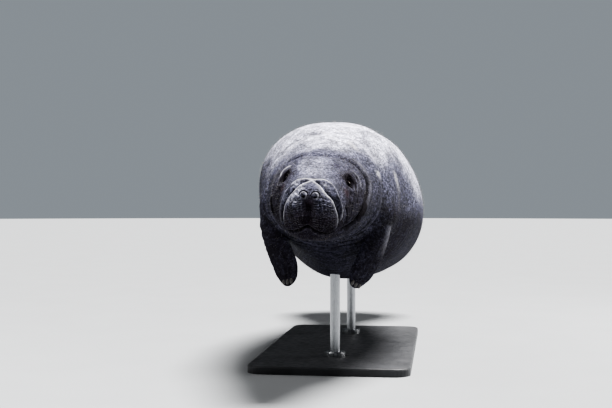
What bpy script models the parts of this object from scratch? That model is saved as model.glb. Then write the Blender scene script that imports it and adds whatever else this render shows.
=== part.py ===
# A life-size West Indian manatee, swimming, on a plain display stand.
# Metres, +Z up. The snout points along -Y and the animal's left side is +X.
# The origin is on the floor, at the centre of the stand's base.

from math import cos, pi, radians, sin

import bmesh
import bpy
import numpy as np
from mathutils import Matrix, Vector

# Driving dimensions
BODY_LENGTH = 2.80
AXIS_HEIGHT = 0.64
SNOUT_Y = -1.15
GAP = 0.0003
BASE_LENGTH = 1.30
BASE_WIDTH = 0.62
BASE_THICKNESS = 0.030
BASE_CORNER = 0.060
ROD_RADIUS = 0.020
ROD_AT = (0.80, 1.52)
COLLAR_RADIUS = 0.042
COLLAR_HEIGHT = 0.018
EYE_RADIUS = 0.0115

# Mesh density
HEAD_COLUMNS = 76
BODY_COLUMNS = 48
FLIPPER_COLUMNS = 20

# Stations along the body: distance from the snout, half width, height of the back,
# depth of the belly, height of the widest point, and the section's corner power above
# and below that point.
STATIONS = {
    "muzzle": (0.000, 0.086, 0.068, -0.112, -0.030, 2.35, 2.35),
    "lips": (0.050, 0.096, 0.080, -0.116, -0.028, 2.35, 2.35),
    "bridge": (0.095, 0.110, 0.097, -0.119, -0.020, 2.25, 2.25),
    "eyes": (0.170, 0.138, 0.132, -0.123, -0.004, 2.15, 2.15),
    "cheeks": (0.235, 0.157, 0.160, -0.127, 0.004, 2.10, 2.10),
    "nape": (0.300, 0.173, 0.186, -0.128, 0.008, 2.05, 2.05),
    "neck": (0.385, 0.199, 0.218, -0.136, 0.010, 2.05, 2.05),
    "shoulders": (0.500, 0.238, 0.261, -0.186, 0.006, 2.10, 2.05),
    "ribs": (0.700, 0.294, 0.317, -0.254, -0.005, 2.33, 2.05),
    "chest": (0.950, 0.341, 0.330, -0.303, -0.009, 2.00, 2.02),
    "belly": (1.200, 0.351, 0.346, -0.316, -0.021, 1.97, 2.30),
    "loin": (1.450, 0.334, 0.324, -0.311, -0.016, 2.00, 2.12),
    "hips": (1.700, 0.289, 0.268, -0.273, -0.020, 2.03, 2.05),
    "tail_root": (1.920, 0.226, 0.188, -0.218, -0.028, 2.00, 2.00),
    "stock": (2.090, 0.182, 0.112, -0.168, -0.040, 2.00, 2.00),
    "waist": (2.200, 0.174, 0.062, -0.136, -0.044, 2.00, 2.00),
    "paddle": (2.340, 0.236, 0.012, -0.111, -0.054, 2.00, 2.00),
    "fluke": (2.480, 0.296, -0.024, -0.102, -0.066, 2.00, 2.00),
    "widest": (2.580, 0.314, -0.045, -0.103, -0.075, 2.00, 2.00),
    "rim": (2.800, 0.314, -0.072, -0.108, -0.090, 2.00, 2.00),
}
SNOUT_ROUND = 0.085
SNOUT_POWER = 2.45
TAIL_ROUND = 0.235
TAIL_POWER = 2.15
SNOUT_LEAN = -0.16

# Where the body is parted into nodes, as ring distances
HEAD_END = 0.262
NECK_END = 0.430
TORSO_END = 1.740
STOCK_END = 2.200
RING_LEAN = 0.33

# Forms of the flesh: height or depth first, then how far the form reaches
CHEEK_PAD = (0.012, 0.042, 0.055)
EYE_PIT = (-0.006, 0.026)
BROW = (0.003, 0.036, 0.012)
PHILTRUM = (-0.010, 0.012)
CHIN = (0.006, 0.050, 0.016)
PAD_GROOVE = (-0.006, 0.008)
BRIDGE_RIDGE = (0.004, 0.008)
NAPE_VALLEY = (-0.008, 0.020)
CHEEK_FOLD = (-0.011, 0.010)
CHEEK_RIM = (0.005, 0.024, 0.013)
CHEEK_SIDES = (0.080, 0.140)
NAPE_SIDES = (0.100, 0.150)
NECK_FOLD = (-0.013, 0.020)
NECK_RIM = (0.006, 0.045, 0.024)
SHOULDER = (0.020, 0.076)
SHOULDER_SPOT = (0.236, 0.505, -0.060)
# Swells and hollows of the trunk: degrees round from the back, reach in degrees, height
TRUNK_FORMS = (
    (-62, 26, 0.009),
    (-97, 20, -0.014),
    (-138, 30, -0.038),
    (180, 28, 0.012),
    (62, 28, -0.010),
    (104, 36, -0.004),
)
EYE_DEPTH = 0.0095
LID_REACH = (0.0100, 0.0085)
LID_THICKNESS = 0.0035
NOSTRIL_REACH = (0.0110, 0.0100)
NOSTRIL_RIM = 0.0042
NOSTRIL_HOLE = (0.0075, 0.0160, 0.0068)
MOUTH_DEPTH = (0.014, 0.007)

HEAD_ROLL = radians(4.0)
SHARP_ANGLE = radians(38)


# Curves through stations
def through(keys, values, at):
    keys = np.asarray(keys, float)
    values = np.asarray(values, float)
    slope = np.gradient(values, keys)
    at = np.clip(at, keys[0], keys[-1])
    i = np.clip(np.searchsorted(keys, at, side="right") - 1, 0, len(keys) - 2)
    span = keys[i + 1] - keys[i]
    t = (at - keys[i]) / span
    start = values[i] * (1 + 2 * t) * (1 - t) ** 2 + slope[i] * span * t * (1 - t) ** 2
    end = values[i + 1] * t * t * (3 - 2 * t) + slope[i + 1] * span * t * t * (t - 1)
    return start + end


def smooth(low, high, at):
    t = np.clip((np.asarray(at, float) - low) / (high - low), 0, 1)
    return t * t * (3 - 2 * t)


def signed_power(value, power):
    return np.sign(value) * np.abs(value) ** power


def closure(s):
    front = np.clip((SNOUT_ROUND - s) / SNOUT_ROUND, 0, 1)
    rear = np.clip((s - (BODY_LENGTH - TAIL_ROUND)) / TAIL_ROUND, 0, 1)
    snout = (1 - front**SNOUT_POWER) ** (1 / SNOUT_POWER)
    tail = (1 - rear**TAIL_POWER) ** (1 / TAIL_POWER)
    return snout * tail


# The smooth body: x and z of the section at distance s, at an angle from the back
def section(s, angle):
    keys, width, top, bottom, centre, power_above, power_below = np.array(list(STATIONS.values())).T
    grow = closure(s)
    middle = through(keys, centre, s)
    bend = 2 / np.where(np.cos(angle) > 0, through(keys, power_above, s), through(keys, power_below, s))
    up = through(keys, top, s) - middle
    down = middle - through(keys, bottom, s)
    across = signed_power(np.sin(angle), bend)
    along = signed_power(np.cos(angle), bend)
    x = through(keys, width, s) * grow * across
    z = middle + grow * np.where(along > 0, up, down) * along
    return x, z


def ring_lean(s):
    return RING_LEAN * smooth(0.27, 0.42, s) * (1 - smooth(0.45, 0.95, s))


# A ring leans back at its top round the neck, and stays in one plane
def surface(s, angle):
    y = s + 0 * angle
    for _ in range(6):
        x, z = section(y, angle)
        y = s + ring_lean(s) * z
    x, z = section(y, angle)
    y = y + SNOUT_LEAN * (z + 0.02) * (1 - smooth(0.0, 0.16, y))
    return np.stack([x, y, z], axis=-1)


def angles(columns):
    return np.arange(columns) * 2 * pi / columns


def normals_of(grid):
    round_way = np.roll(grid, -1, axis=1) - np.roll(grid, 1, axis=1)
    long_way = np.gradient(grid, axis=0)
    normal = np.cross(round_way, long_way)
    size = np.linalg.norm(normal, axis=-1, keepdims=True)
    return normal / np.maximum(size, 1e-12)


# Points of the smooth head under a front view (x, z) or a side view (y, z)
LOOKUP_RINGS = np.concatenate(
    [
        SNOUT_ROUND * (1 - np.cos(np.linspace(0.02, pi / 2, 70)) ** (2 / SNOUT_POWER)),
        np.linspace(SNOUT_ROUND + 0.003, 0.55, 120),
    ]
)
LOOKUP = surface(LOOKUP_RINGS[:, None], angles(240)[None, :])


def on_face(x, z, table=LOOKUP):
    front = table[:110].reshape(-1, 3)
    i = np.argmin((front[:, 0] - x) ** 2 + (front[:, 2] - z) ** 2 + 0.02 * front[:, 1] ** 2)
    return front[i]


def on_side(y, z, side, table=LOOKUP):
    points = table[:, 1:120].reshape(-1, 3)
    i = np.argmin((points[:, 1] - y) ** 2 + (points[:, 2] - z) ** 2)
    return points[i] * [side, 1, 1]


def far_from(points, curve):
    best = np.full(points.shape[:-1], 1e9)
    for a, b in zip(curve[:-1], curve[1:]):
        along = b - a
        t = np.clip((points - a) @ along / (along @ along), 0, 1)
        best = np.minimum(best, np.linalg.norm(points - a - t[..., None] * along, axis=-1))
    return best


# Landmarks of the head: lines are (x, z) seen from the front, each half from the middle out.
# The muzzle turns a little, so its edges differ from left (1) to right (-1).
EYE_SPOT = (0.178, 0.081)
NOSTRIL_SPOT = (0.0185, 0.0245)
PAD_LINES = {
    1: (
        (0.0, 0.0785),
        (0.015, 0.0735),
        (0.031, 0.0630),
        (0.0525, 0.0385),
        (0.0725, 0.0180),
        (0.0860, -0.0125),
        (0.0930, -0.0340),
        (0.0935, -0.0520),
        (0.0900, -0.0720),
    ),
    -1: (
        (0.0, 0.0785),
        (0.016, 0.0730),
        (0.0355, 0.0625),
        (0.0550, 0.0390),
        (0.0720, 0.0115),
        (0.0795, -0.0095),
        (0.0830, -0.0390),
        (0.0840, -0.0550),
        (0.0825, -0.0720),
    ),
}
BRIDGE_LINES = {
    1: (
        (0.0, 0.0800),
        (0.022, 0.0795),
        (0.042, 0.0785),
        (0.0550, 0.0732),
        (0.0695, 0.0585),
        (0.0840, 0.0303),
        (0.0955, 0.0058),
        (0.1000, -0.0133),
        (0.0990, -0.0330),
        (0.0950, -0.0520),
    ),
    -1: (
        (0.0, 0.0800),
        (0.018, 0.0790),
        (0.0335, 0.0765),
        (0.0510, 0.0700),
        (0.0625, 0.0530),
        (0.0760, 0.0345),
        (0.0838, 0.0130),
        (0.0880, -0.0129),
        (0.0900, -0.0400),
        (0.0885, -0.0600),
    ),
}
MOUTH_LINE = (
    (0.0, -0.074),
    (0.012, -0.076),
    (0.028, -0.083),
    (0.050, -0.088),
    (0.070, -0.086),
    (0.085, -0.078),
)
PAD_CENTRE = (0.048, -0.030)

# The fold behind the cheek, from the nape to the corner of the mouth, as (y, z) seen from
# the side. The head is turned a little, so the fold differs from left to right.
CHEEK_LINES = {
    1: (
        (0.262, 0.170),
        (0.280, 0.168),
        (0.300, 0.160),
        (0.309, 0.145),
        (0.308, 0.125),
        (0.308, 0.100),
        (0.303, 0.080),
        (0.290, 0.060),
        (0.272, 0.040),
        (0.252, 0.018),
        (0.234, -0.001),
        (0.217, -0.019),
        (0.201, -0.035),
        (0.176, -0.054),
        (0.145, -0.070),
        (0.112, -0.080),
    ),
    -1: (
        (0.262, 0.170),
        (0.280, 0.168),
        (0.300, 0.160),
        (0.311, 0.145),
        (0.311, 0.125),
        (0.306, 0.100),
        (0.298, 0.080),
        (0.288, 0.060),
        (0.276, 0.040),
        (0.262, 0.018),
        (0.246, -0.001),
        (0.228, -0.019),
        (0.208, -0.035),
        (0.180, -0.054),
        (0.147, -0.070),
        (0.112, -0.080),
    ),
}


def eye_centre(side, table=LOOKUP):
    return on_side(EYE_SPOT[0], EYE_SPOT[1], side, table)


def cheek_curve(side):
    return finer(np.array([on_side(y, z, side) for y, z in CHEEK_LINES[side]]), 40)


def face_line(line, table=LOOKUP):
    left = [on_face(x, z, table) for x, z in line]
    right = [p * [-1, 1, 1] for p in left[:0:-1]]
    return np.array(right + left)


def both_halves(lines):
    left = [on_face(x, z) for x, z in lines[1]]
    right = [on_face(x, z) * [-1, 1, 1] for x, z in lines[-1]]
    return np.array(right[:0:-1] + left)


def finer(curve, count):
    keys = np.concatenate([[0], np.cumsum(np.linalg.norm(np.diff(curve, axis=0), axis=1))])
    at = np.linspace(0, keys[-1], count)
    return np.stack([through(keys, curve[:, k], at) for k in range(3)], axis=1)


# One soft form: full height at no distance, fading out over its reach
def bump(height, *distances_and_reaches):
    fade = 0
    for distance, reach in distances_and_reaches:
        fade = fade + (distance / reach) ** 2
    return height * np.exp(-fade)


# Soft forms of the flesh, as heights along the surface's normal
def flesh(grid, s, angle):
    x, y, z = np.moveaxis(grid, -1, 0)
    turn = np.abs((angle + pi) % (2 * pi) - pi)
    height = 0 * x
    front = 1 - smooth(0.03, 0.12, y)
    for side in (-1, 1):
        px = x - side * PAD_CENTRE[0]
        pz = z - PAD_CENTRE[1]
        height += front * bump(CHEEK_PAD[0], (px, CHEEK_PAD[1]), (pz, CHEEK_PAD[2]))
        eye = np.linalg.norm(grid - eye_centre(side), axis=-1)
        height += bump(EYE_PIT[0], (eye, EYE_PIT[1]))
        height += bump(BROW[0], (eye - BROW[1], BROW[2]))
        # the fold behind the cheek is shallow over the nape, where a broad valley takes its place
        cheek = far_from(grid, cheek_curve(side))
        depth = 0.25 + 0.75 * smooth(*CHEEK_SIDES, np.abs(x))
        height += depth * bump(CHEEK_FOLD[0], (cheek, CHEEK_FOLD[1]))
        height += depth * bump(CHEEK_RIM[0], (cheek - CHEEK_RIM[1], CHEEK_RIM[2]))
        nape = 0.5 * (1 - smooth(*NAPE_SIDES, np.abs(x))) * (z > 0)
        height += nape * bump(NAPE_VALLEY[0], (cheek, NAPE_VALLEY[1]))
    lip = smooth(-0.095, -0.07, z) * (1 - smooth(0.0, 0.02, z))
    height += front * lip * bump(PHILTRUM[0], (x, PHILTRUM[1]))
    height += front * bump(CHIN[0], (x, CHIN[1]), (z + 0.108, CHIN[2]))
    pad = far_from(grid, finer(both_halves(PAD_LINES), 40))
    height += bump(PAD_GROOVE[0], (pad, PAD_GROOVE[1]))
    bridge = far_from(grid, finer(both_halves(BRIDGE_LINES), 40))
    height += bump(BRIDGE_RIDGE[0], (bridge, BRIDGE_RIDGE[1]))
    # the fold of the neck, deepest at the lower sides
    flank = 0.25 + 0.75 * np.exp(-(((turn - 1.75) / 0.85) ** 2))
    height += flank * bump(NECK_FOLD[0], (s - NECK_END, NECK_FOLD[1]))
    height += flank * bump(NECK_RIM[0], (s - NECK_END + NECK_RIM[1], NECK_RIM[2]))
    # the shoulders, where the flippers leave the body
    for side in (-1, 1):
        shoulder = np.linalg.norm(grid - np.array(SHOULDER_SPOT) * [side, 1, 1], axis=-1)
        height += bump(SHOULDER[0], (shoulder, SHOULDER[1]))
    trunk = smooth(0.48, 0.70, s) * (1 - smooth(1.50, 1.95, s))
    for at, reach, high in TRUNK_FORMS:
        apart = (np.degrees(angle) - at + 180) % 360 - 180
        height += trunk * bump(high, (apart, reach))
    return height


# The head rolls a little on the neck
def pose(points):
    x, y, z = np.moveaxis(np.asarray(points, float), -1, 0)
    roll = HEAD_ROLL * (1 - smooth(0.32, 0.85, y))
    x, z = x * np.cos(roll) + z * np.sin(roll), z * np.cos(roll) - x * np.sin(roll)
    return np.stack([x, y + SNOUT_Y, z + AXIS_HEIGHT], axis=-1)


def body_rings(rings, columns):
    s = np.asarray(rings, float)[:, None]
    angle = angles(columns)[None, :]
    grid = surface(s, angle)
    height = flesh(grid, s + 0 * angle, angle + 0 * s)
    return grid + normals_of(grid) * height[..., None]


# The finished flesh of the head, where the openings are cut
def flesh_lookup():
    s = LOOKUP_RINGS[:, None]
    angle = angles(240)[None, :]
    height = flesh(LOOKUP, s + 0 * angle, angle + 0 * s)
    return LOOKUP + normals_of(LOOKUP) * height[..., None]


FLESH = flesh_lookup()


# Mesh and node helpers
def new_object(name, mesh, material):
    thing = bpy.data.objects.new(name, mesh)
    bpy.context.scene.collection.objects.link(thing)
    if material:
        mesh.materials.append(material)
    return thing


def material(name, colour, roughness, metallic=0.0):
    made = bpy.data.materials.new(name)
    made.use_nodes = True
    shader = made.node_tree.nodes["Principled BSDF"]
    shader.inputs["Base Color"].default_value = (*colour, 1.0)
    shader.inputs["Roughness"].default_value = roughness
    shader.inputs["Metallic"].default_value = metallic
    made.diffuse_color = (*colour, 1.0)
    return made


# Joins rings of points to one closed skin, with a point or a flat cap at each end
def loft(name, grid, material, first=None, last=None):
    rings, columns = grid.shape[:2]
    points = list(grid.reshape(-1, 3))
    faces = []
    for r in range(rings - 1):
        for c in range(columns):
            d = (c + 1) % columns
            faces.append((r * columns + c, r * columns + d, (r + 1) * columns + d, (r + 1) * columns + c))
    start = len(points)
    points.append(grid[0].mean(axis=0) if first is None else first)
    points.append(grid[-1].mean(axis=0) if last is None else last)
    for c in range(columns):
        d = (c + 1) % columns
        faces.append((start, d, c))
        faces.append((start + 1, (rings - 1) * columns + c, (rings - 1) * columns + d))
    mesh = bpy.data.meshes.new(name)
    mesh.from_pydata([tuple(p) for p in points], [], faces)
    made = bmesh.new()
    made.from_mesh(mesh)
    bmesh.ops.recalc_face_normals(made, faces=made.faces)
    bmesh.ops.triangulate(made, faces=made.faces)
    made.to_mesh(mesh)
    made.free()
    mesh.shade_smooth()
    return new_object(name, mesh, material)


def combine(target, others, operation, solver="EXACT"):
    group = bpy.data.collections.new(target.name + "_" + operation)
    for other in others:
        group.objects.link(other)
    change = target.modifiers.new(operation, "BOOLEAN")
    change.operation = operation
    change.solver = solver
    change.operand_type = "COLLECTION"
    change.collection = group
    graph = bpy.context.evaluated_depsgraph_get()
    mesh = bpy.data.meshes.new_from_object(target.evaluated_get(graph))
    target.modifiers.clear()
    target.data = mesh
    for other in others:
        bpy.data.objects.remove(other)
    bpy.data.collections.remove(group)
    keep_largest(target)


# Leaves only the largest closed surface of a node
def keep_largest(thing):
    made = bmesh.new()
    made.from_mesh(thing.data)
    left = set(made.faces)
    groups = []
    while left:
        stack = [left.pop()]
        group = list(stack)
        while stack:
            face = stack.pop()
            for edge in face.edges:
                for other in edge.link_faces:
                    if other in left:
                        left.remove(other)
                        stack.append(other)
                        group.append(other)
        groups.append(group)
    groups.sort(key=len)
    scraps = [face for group in groups[:-1] for face in group]
    bmesh.ops.delete(made, geom=scraps, context="FACES")
    bmesh.ops.triangulate(made, faces=made.faces)
    made.to_mesh(thing.data)
    made.free()
    thing.data.shade_smooth()
    thing.data.set_sharp_from_angle(angle=SHARP_ANGLE)


# Simple closed shapes that are joined to a node or cut from it
def ball(centre, sizes, turn=None, rings=10, segments=16):
    made = bmesh.new()
    bmesh.ops.create_uvsphere(made, u_segments=segments, v_segments=rings, radius=1.0)
    frame = Matrix.Translation(Vector(centre)) @ (turn or Matrix.Identity(3)).to_4x4()
    bmesh.ops.transform(made, matrix=frame @ Matrix.Diagonal((*sizes, 1.0)), verts=made.verts)
    mesh = bpy.data.meshes.new("ball")
    made.to_mesh(mesh)
    made.free()
    return new_object("ball", mesh, None)


# A tube along a path, as thick as the radius says at each point
def tube(path, radii, sides=8, flat=1.0, up=None):
    path = np.asarray(path, float)
    ways = np.gradient(path, axis=0)
    ways = ways / np.linalg.norm(ways, axis=1, keepdims=True)
    side = np.cross(ways, np.array([0.0, 0.0, 1.0]) if up is None else up)
    side = side / np.linalg.norm(side, axis=1, keepdims=True)
    other = np.cross(side, ways)
    turn = angles(sides)[None, :, None]
    radii = np.asarray(radii, float)[:, None, None]
    grid = path[:, None] + radii * (np.cos(turn) * side[:, None] + flat * np.sin(turn) * other[:, None])
    return loft("tube", grid, None)


# A ring of flesh round an opening, wider across than it is high
def lid_ring(centre, across, up, reach, thick, segments=16, sides=6):
    turn = angles(segments)
    out = np.cos(turn)[:, None] * across * reach[0] + np.sin(turn)[:, None] * up * reach[1]
    away = out / np.linalg.norm(out, axis=1, keepdims=True)
    normal = np.cross(across, up)
    points = []
    for t in angles(sides):
        points.append(centre + out + thick * (np.cos(t) * away + np.sin(t) * normal))
    grid = np.stack(points, axis=1)
    faces = []
    for r in range(segments):
        for c in range(sides):
            e = (r + 1) % segments
            d = (c + 1) % sides
            faces.append((r * sides + c, r * sides + d, e * sides + d, e * sides + c))
    mesh = bpy.data.meshes.new("lid")
    mesh.from_pydata([tuple(p) for p in grid.reshape(-1, 3)], [], faces)
    made = bmesh.new()
    made.from_mesh(mesh)
    bmesh.ops.recalc_face_normals(made, faces=made.faces)
    made.to_mesh(mesh)
    made.free()
    return new_object("lid", mesh, None)


def unit(vector):
    vector = np.asarray(vector, float)
    return vector / np.linalg.norm(vector)


# The way out of the flesh at a point of the smooth head, before the pose
def outward(point):
    centre = np.array([0.0, point[1] + 0.05, point[2] * 0.15])
    return unit(point - centre)


# Nodes of flesh
def head(skin):
    turn = np.linspace(0.10, pi / 2, 14)
    front = SNOUT_ROUND * (1 - np.cos(turn) ** (2 / SNOUT_POWER))
    rear = np.linspace(SNOUT_ROUND + 0.011, HEAD_END, 17)
    grid = body_rings(np.concatenate([front, rear]), HEAD_COLUMNS)
    tip = surface(np.array([0.0]), np.array([0.0]))[0]
    grid[-1, :, 1] = HEAD_END
    made = loft("head", pose(grid), skin, first=pose(tip), last=pose(grid[-1].mean(axis=0)))
    added = []
    cut = []
    for side in (-1, 1):
        eye = eye_centre(side, FLESH)
        out = outward(eye)
        across = unit(np.cross(out, [0, 0, 1]))
        up = np.cross(across, out)
        added.append(moved(lid_ring(eye, across, up, LID_REACH, LID_THICKNESS)))
        cut.append(moved(ball(eye - EYE_DEPTH * out, (EYE_RADIUS + GAP,) * 3, rings=12, segments=18)))
        nostril = on_face(side * NOSTRIL_SPOT[0], NOSTRIL_SPOT[1], FLESH)
        ahead = unit([side * 0.15, -1.0, 0.42])
        across = unit(np.cross(ahead, [0, 0, 1]))
        up = np.cross(across, ahead)
        added.append(moved(lid_ring(nostril + 0.001 * ahead, across, up, NOSTRIL_REACH, NOSTRIL_RIM)))
        cut.append(moved(ball(nostril, NOSTRIL_HOLE, rings=8, segments=12)))
    mouth = finer(face_line(MOUTH_LINE, FLESH), 26)
    share = np.abs(np.linspace(-1, 1, 26))
    cut.append(moved(tube(mouth, MOUTH_DEPTH[0] + (MOUTH_DEPTH[1] - MOUTH_DEPTH[0]) * share**4, flat=0.2)))
    combine(made, added, "UNION")
    combine(made, cut, "DIFFERENCE")
    return made


# Carries a shape made on the unposed head along with the pose
def moved(thing):
    points = np.array([v.co for v in thing.data.vertices])
    for vertex, place in zip(thing.data.vertices, pose(points)):
        vertex.co = place
    thing.data.update()
    return thing


def eyes(material):
    for name, side in (("eye_left", 1), ("eye_right", -1)):
        spot = eye_centre(side, FLESH)
        centre = spot - EYE_DEPTH * outward(spot)
        made = moved(ball(centre, (EYE_RADIUS,) * 3, rings=12, segments=18))
        made.name = name
        made.data.name = name
        made.data.materials.append(material)
        made.data.shade_smooth()


# One length of the body between two rings, both ends in the plane of their ring
def length_of_body(name, rings, skin):
    grid = body_rings(rings, BODY_COLUMNS)
    for row, s in ((0, rings[0]), (-1, rings[-1])):
        grid[row, :, 1] = s + ring_lean(s) * grid[row, :, 2]
    grid[0, :, 1] += GAP
    return loft(name, pose(grid), skin)


def neck(skin):
    return length_of_body("neck", np.linspace(HEAD_END, NECK_END, 8), skin)


def torso(skin):
    front = np.linspace(NECK_END, 0.66, 12)
    rear = np.linspace(0.66, TORSO_END, 14)[1:]
    length_of_body("torso", np.concatenate([front, rear]), skin)


def tail_stock(skin):
    length_of_body("tail_stock", np.linspace(TORSO_END, STOCK_END, 7), skin)


def tail_paddle(skin):
    front = np.linspace(STOCK_END, BODY_LENGTH - TAIL_ROUND, 7)
    turn = np.linspace(0, pi / 2 - 0.12, 11)[1:]
    rear = BODY_LENGTH - TAIL_ROUND + TAIL_ROUND * np.sin(turn) ** (2 / TAIL_POWER)
    rings = np.concatenate([front, rear])
    grid = body_rings(rings, BODY_COLUMNS)
    grid[0, :, 1] = STOCK_END + GAP
    tip = surface(np.array([BODY_LENGTH]), np.array([0.0]))[0]
    loft("tail_paddle", pose(grid), skin, last=pose(tip))


# Flippers: the middle line from inside the shoulder to the tip, and the way across
FLIPPERS = {
    "flipper_left": {
        "side": 1,
        "wide": 1.0,
        "across": (0.60, 0.80, 0.0),
        "line": (
            (0.170, 0.490, 0.040),
            (0.198, 0.490, -0.030),
            (0.196, 0.488, -0.086),
            (0.188, 0.484, -0.132),
            (0.175, 0.480, -0.178),
            (0.156, 0.476, -0.224),
            (0.138, 0.473, -0.263),
            (0.121, 0.470, -0.302),
        ),
    },
    "flipper_right": {
        "side": -1,
        "wide": 1.09,
        "across": (-0.77, 0.64, 0.0),
        "line": (
            (-0.170, 0.490, 0.040),
            (-0.196, 0.490, -0.030),
            (-0.198, 0.490, -0.086),
            (-0.185, 0.490, -0.138),
            (-0.162, 0.488, -0.190),
            (-0.142, 0.484, -0.232),
            (-0.129, 0.480, -0.272),
            (-0.124, 0.476, -0.313),
        ),
    },
}
FLIPPER_SHARES = (0, 0.30, 0.50, 0.72, 0.88, 1.0)
FLIPPER_WIDTH = (0.058, 0.058, 0.060, 0.064, 0.062, 0.056)
FLIPPER_DEPTH = (0.046, 0.040, 0.032, 0.022, 0.016, 0.012)
FLIPPER_ROUND = 0.24
FLIPPER_POWER = 2.1
FLIPPER_START = 0.16
FLIPPER_AWAY = (0.90, 0.0, -0.90)
NAIL_SIZES = (0.009, 0.0040, 0.011)
NAIL_PLACES = (-0.030, -0.008, 0.014)
NAIL_LIFT = 0.0085


def flipper_frame(shape, share):
    line = np.array(shape["line"])
    keys = np.concatenate([[0], np.cumsum(np.linalg.norm(np.diff(line, axis=0), axis=1))])
    keys = keys / keys[-1]
    place = np.stack([through(keys, line[:, k], share) for k in range(3)], axis=-1)
    ahead = np.stack([through(keys, line[:, k], share + 0.004) for k in range(3)], axis=-1)
    behind = np.stack([through(keys, line[:, k], share - 0.004) for k in range(3)], axis=-1)
    way = ahead - behind
    way = way / np.linalg.norm(way, axis=-1, keepdims=True)
    across = np.array(shape["across"]) - (way @ np.array(shape["across"]))[..., None] * way
    across = across / np.linalg.norm(across, axis=-1, keepdims=True)
    return place, way, across, np.cross(way, across)


def flipper_rings(shape, shares, columns):
    shares = np.asarray(shares, float)
    place, way, across, over = flipper_frame(shape, shares)
    round_off = np.clip((shares - (1 - FLIPPER_ROUND)) / FLIPPER_ROUND, 0, 1)
    round_off = (1 - round_off**FLIPPER_POWER) ** (1 / FLIPPER_POWER)
    width = through(FLIPPER_SHARES, FLIPPER_WIDTH, shares) * round_off
    width = width * (1 + (shape["wide"] - 1) * smooth(0.40, 0.70, shares))
    depth = through(FLIPPER_SHARES, FLIPPER_DEPTH, shares) * round_off**0.7
    turn = angles(columns)[None, :, None]
    flat = np.cos(turn) * (width[:, None] * across)[:, None]
    high = np.sin(turn) * (depth[:, None] * over)[:, None]
    return place[:, None] + flat + high


def nails(shape):
    outer = shape["side"]
    made = []
    for sideways in NAIL_PLACES:
        place, way, across, over = flipper_frame(shape, np.array([0.955 - 6 * sideways**2]))
        spot = place[0] + sideways * across[0] + outer * NAIL_LIFT * over[0]
        turn = Matrix([across[0], over[0] * outer, way[0]]).transposed()
        made.append(ball(pose(spot), NAIL_SIZES, turn=turn, rings=6, segments=10))
    return made


def copy_of(name):
    made = bpy.data.objects.new("copy", bpy.data.objects[name].data.copy())
    bpy.context.scene.collection.objects.link(made)
    return made


# Each flipper is cut to the torso's surface and stands a gap off it
def flippers(skin):
    for name, shape in FLIPPERS.items():
        round_tip = 1 - FLIPPER_ROUND * np.array([0.8, 0.6, 0.4, 0.22, 0.09, 0.02])
        shares = np.concatenate([np.linspace(FLIPPER_START, 1 - FLIPPER_ROUND, 12), round_tip])
        grid = flipper_rings(shape, shares, FLIPPER_COLUMNS)
        tip = flipper_frame(shape, np.array([1.0]))[0][0]
        made = loft(name, pose(grid), skin, last=pose(tip))
        combine(made, [copy_of("torso")], "DIFFERENCE")
        combine(made, nails(shape), "UNION")
        for vertex in made.data.vertices:
            vertex.co += GAP * Vector(FLIPPER_AWAY) * Vector((shape["side"], 1, 1))


# The stand
def base(finish):
    made = bmesh.new()
    bmesh.ops.create_cube(made, size=1.0)
    bmesh.ops.scale(made, vec=(BASE_WIDTH, BASE_LENGTH, BASE_THICKNESS), verts=made.verts)
    bmesh.ops.translate(made, vec=(0, 0, BASE_THICKNESS / 2), verts=made.verts)
    upright = [e for e in made.edges if abs(e.verts[0].co.z - e.verts[1].co.z) > 0.01]
    bmesh.ops.bevel(made, geom=upright, offset=BASE_CORNER, segments=6, affect="EDGES", profile=0.5)
    rim = [e for e in made.edges if min(v.co.z for v in e.verts) > BASE_THICKNESS - 0.001]
    bmesh.ops.bevel(made, geom=rim, offset=0.006, segments=2, affect="EDGES", profile=0.5)
    mesh = bpy.data.meshes.new("stand_base")
    made.to_mesh(mesh)
    made.free()
    new_object("stand_base", mesh, finish)


# A rod with a foot collar, cut at its top to the belly above it
def rod(name, s, finish):
    profile = (
        (COLLAR_RADIUS, 0.0),
        (COLLAR_RADIUS, COLLAR_HEIGHT - 0.004),
        (COLLAR_RADIUS - 0.004, COLLAR_HEIGHT),
        (ROD_RADIUS, COLLAR_HEIGHT),
        (ROD_RADIUS, AXIS_HEIGHT - 0.20),
    )
    foot = BASE_THICKNESS + 2 * GAP
    grid = []
    for radius, height in profile:
        ring = [(radius * cos(t), s + SNOUT_Y + radius * sin(t), foot + height) for t in angles(24)]
        grid.append(ring)
    made = loft(name, np.array(grid), finish)
    combine(made, [copy_of("torso")], "DIFFERENCE")
    for vertex in made.data.vertices:
        vertex.co.z -= GAP


def build():
    for thing in list(bpy.data.objects):
        bpy.data.objects.remove(thing)
    skin = material("skin", (0.235, 0.225, 0.235), 0.55)
    eye = material("eye", (0.015, 0.012, 0.012), 0.12)
    plate = material("stand_plate", (0.06, 0.06, 0.065), 0.45)
    steel = material("stand_steel", (0.55, 0.56, 0.58), 0.30, 1.0)
    head(skin)
    eyes(eye)
    neck(skin)
    torso(skin)
    flippers(skin)
    tail_stock(skin)
    tail_paddle(skin)
    base(plate)
    rod("stand_rod_front", ROD_AT[0], steel)
    rod("stand_rod_rear", ROD_AT[1], steel)


build()
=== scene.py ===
from math import cos, pi, radians, sin

import bmesh
import bpy
import numpy as np
from mathutils import Matrix, Vector
from mathutils.kdtree import KDTree


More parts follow.
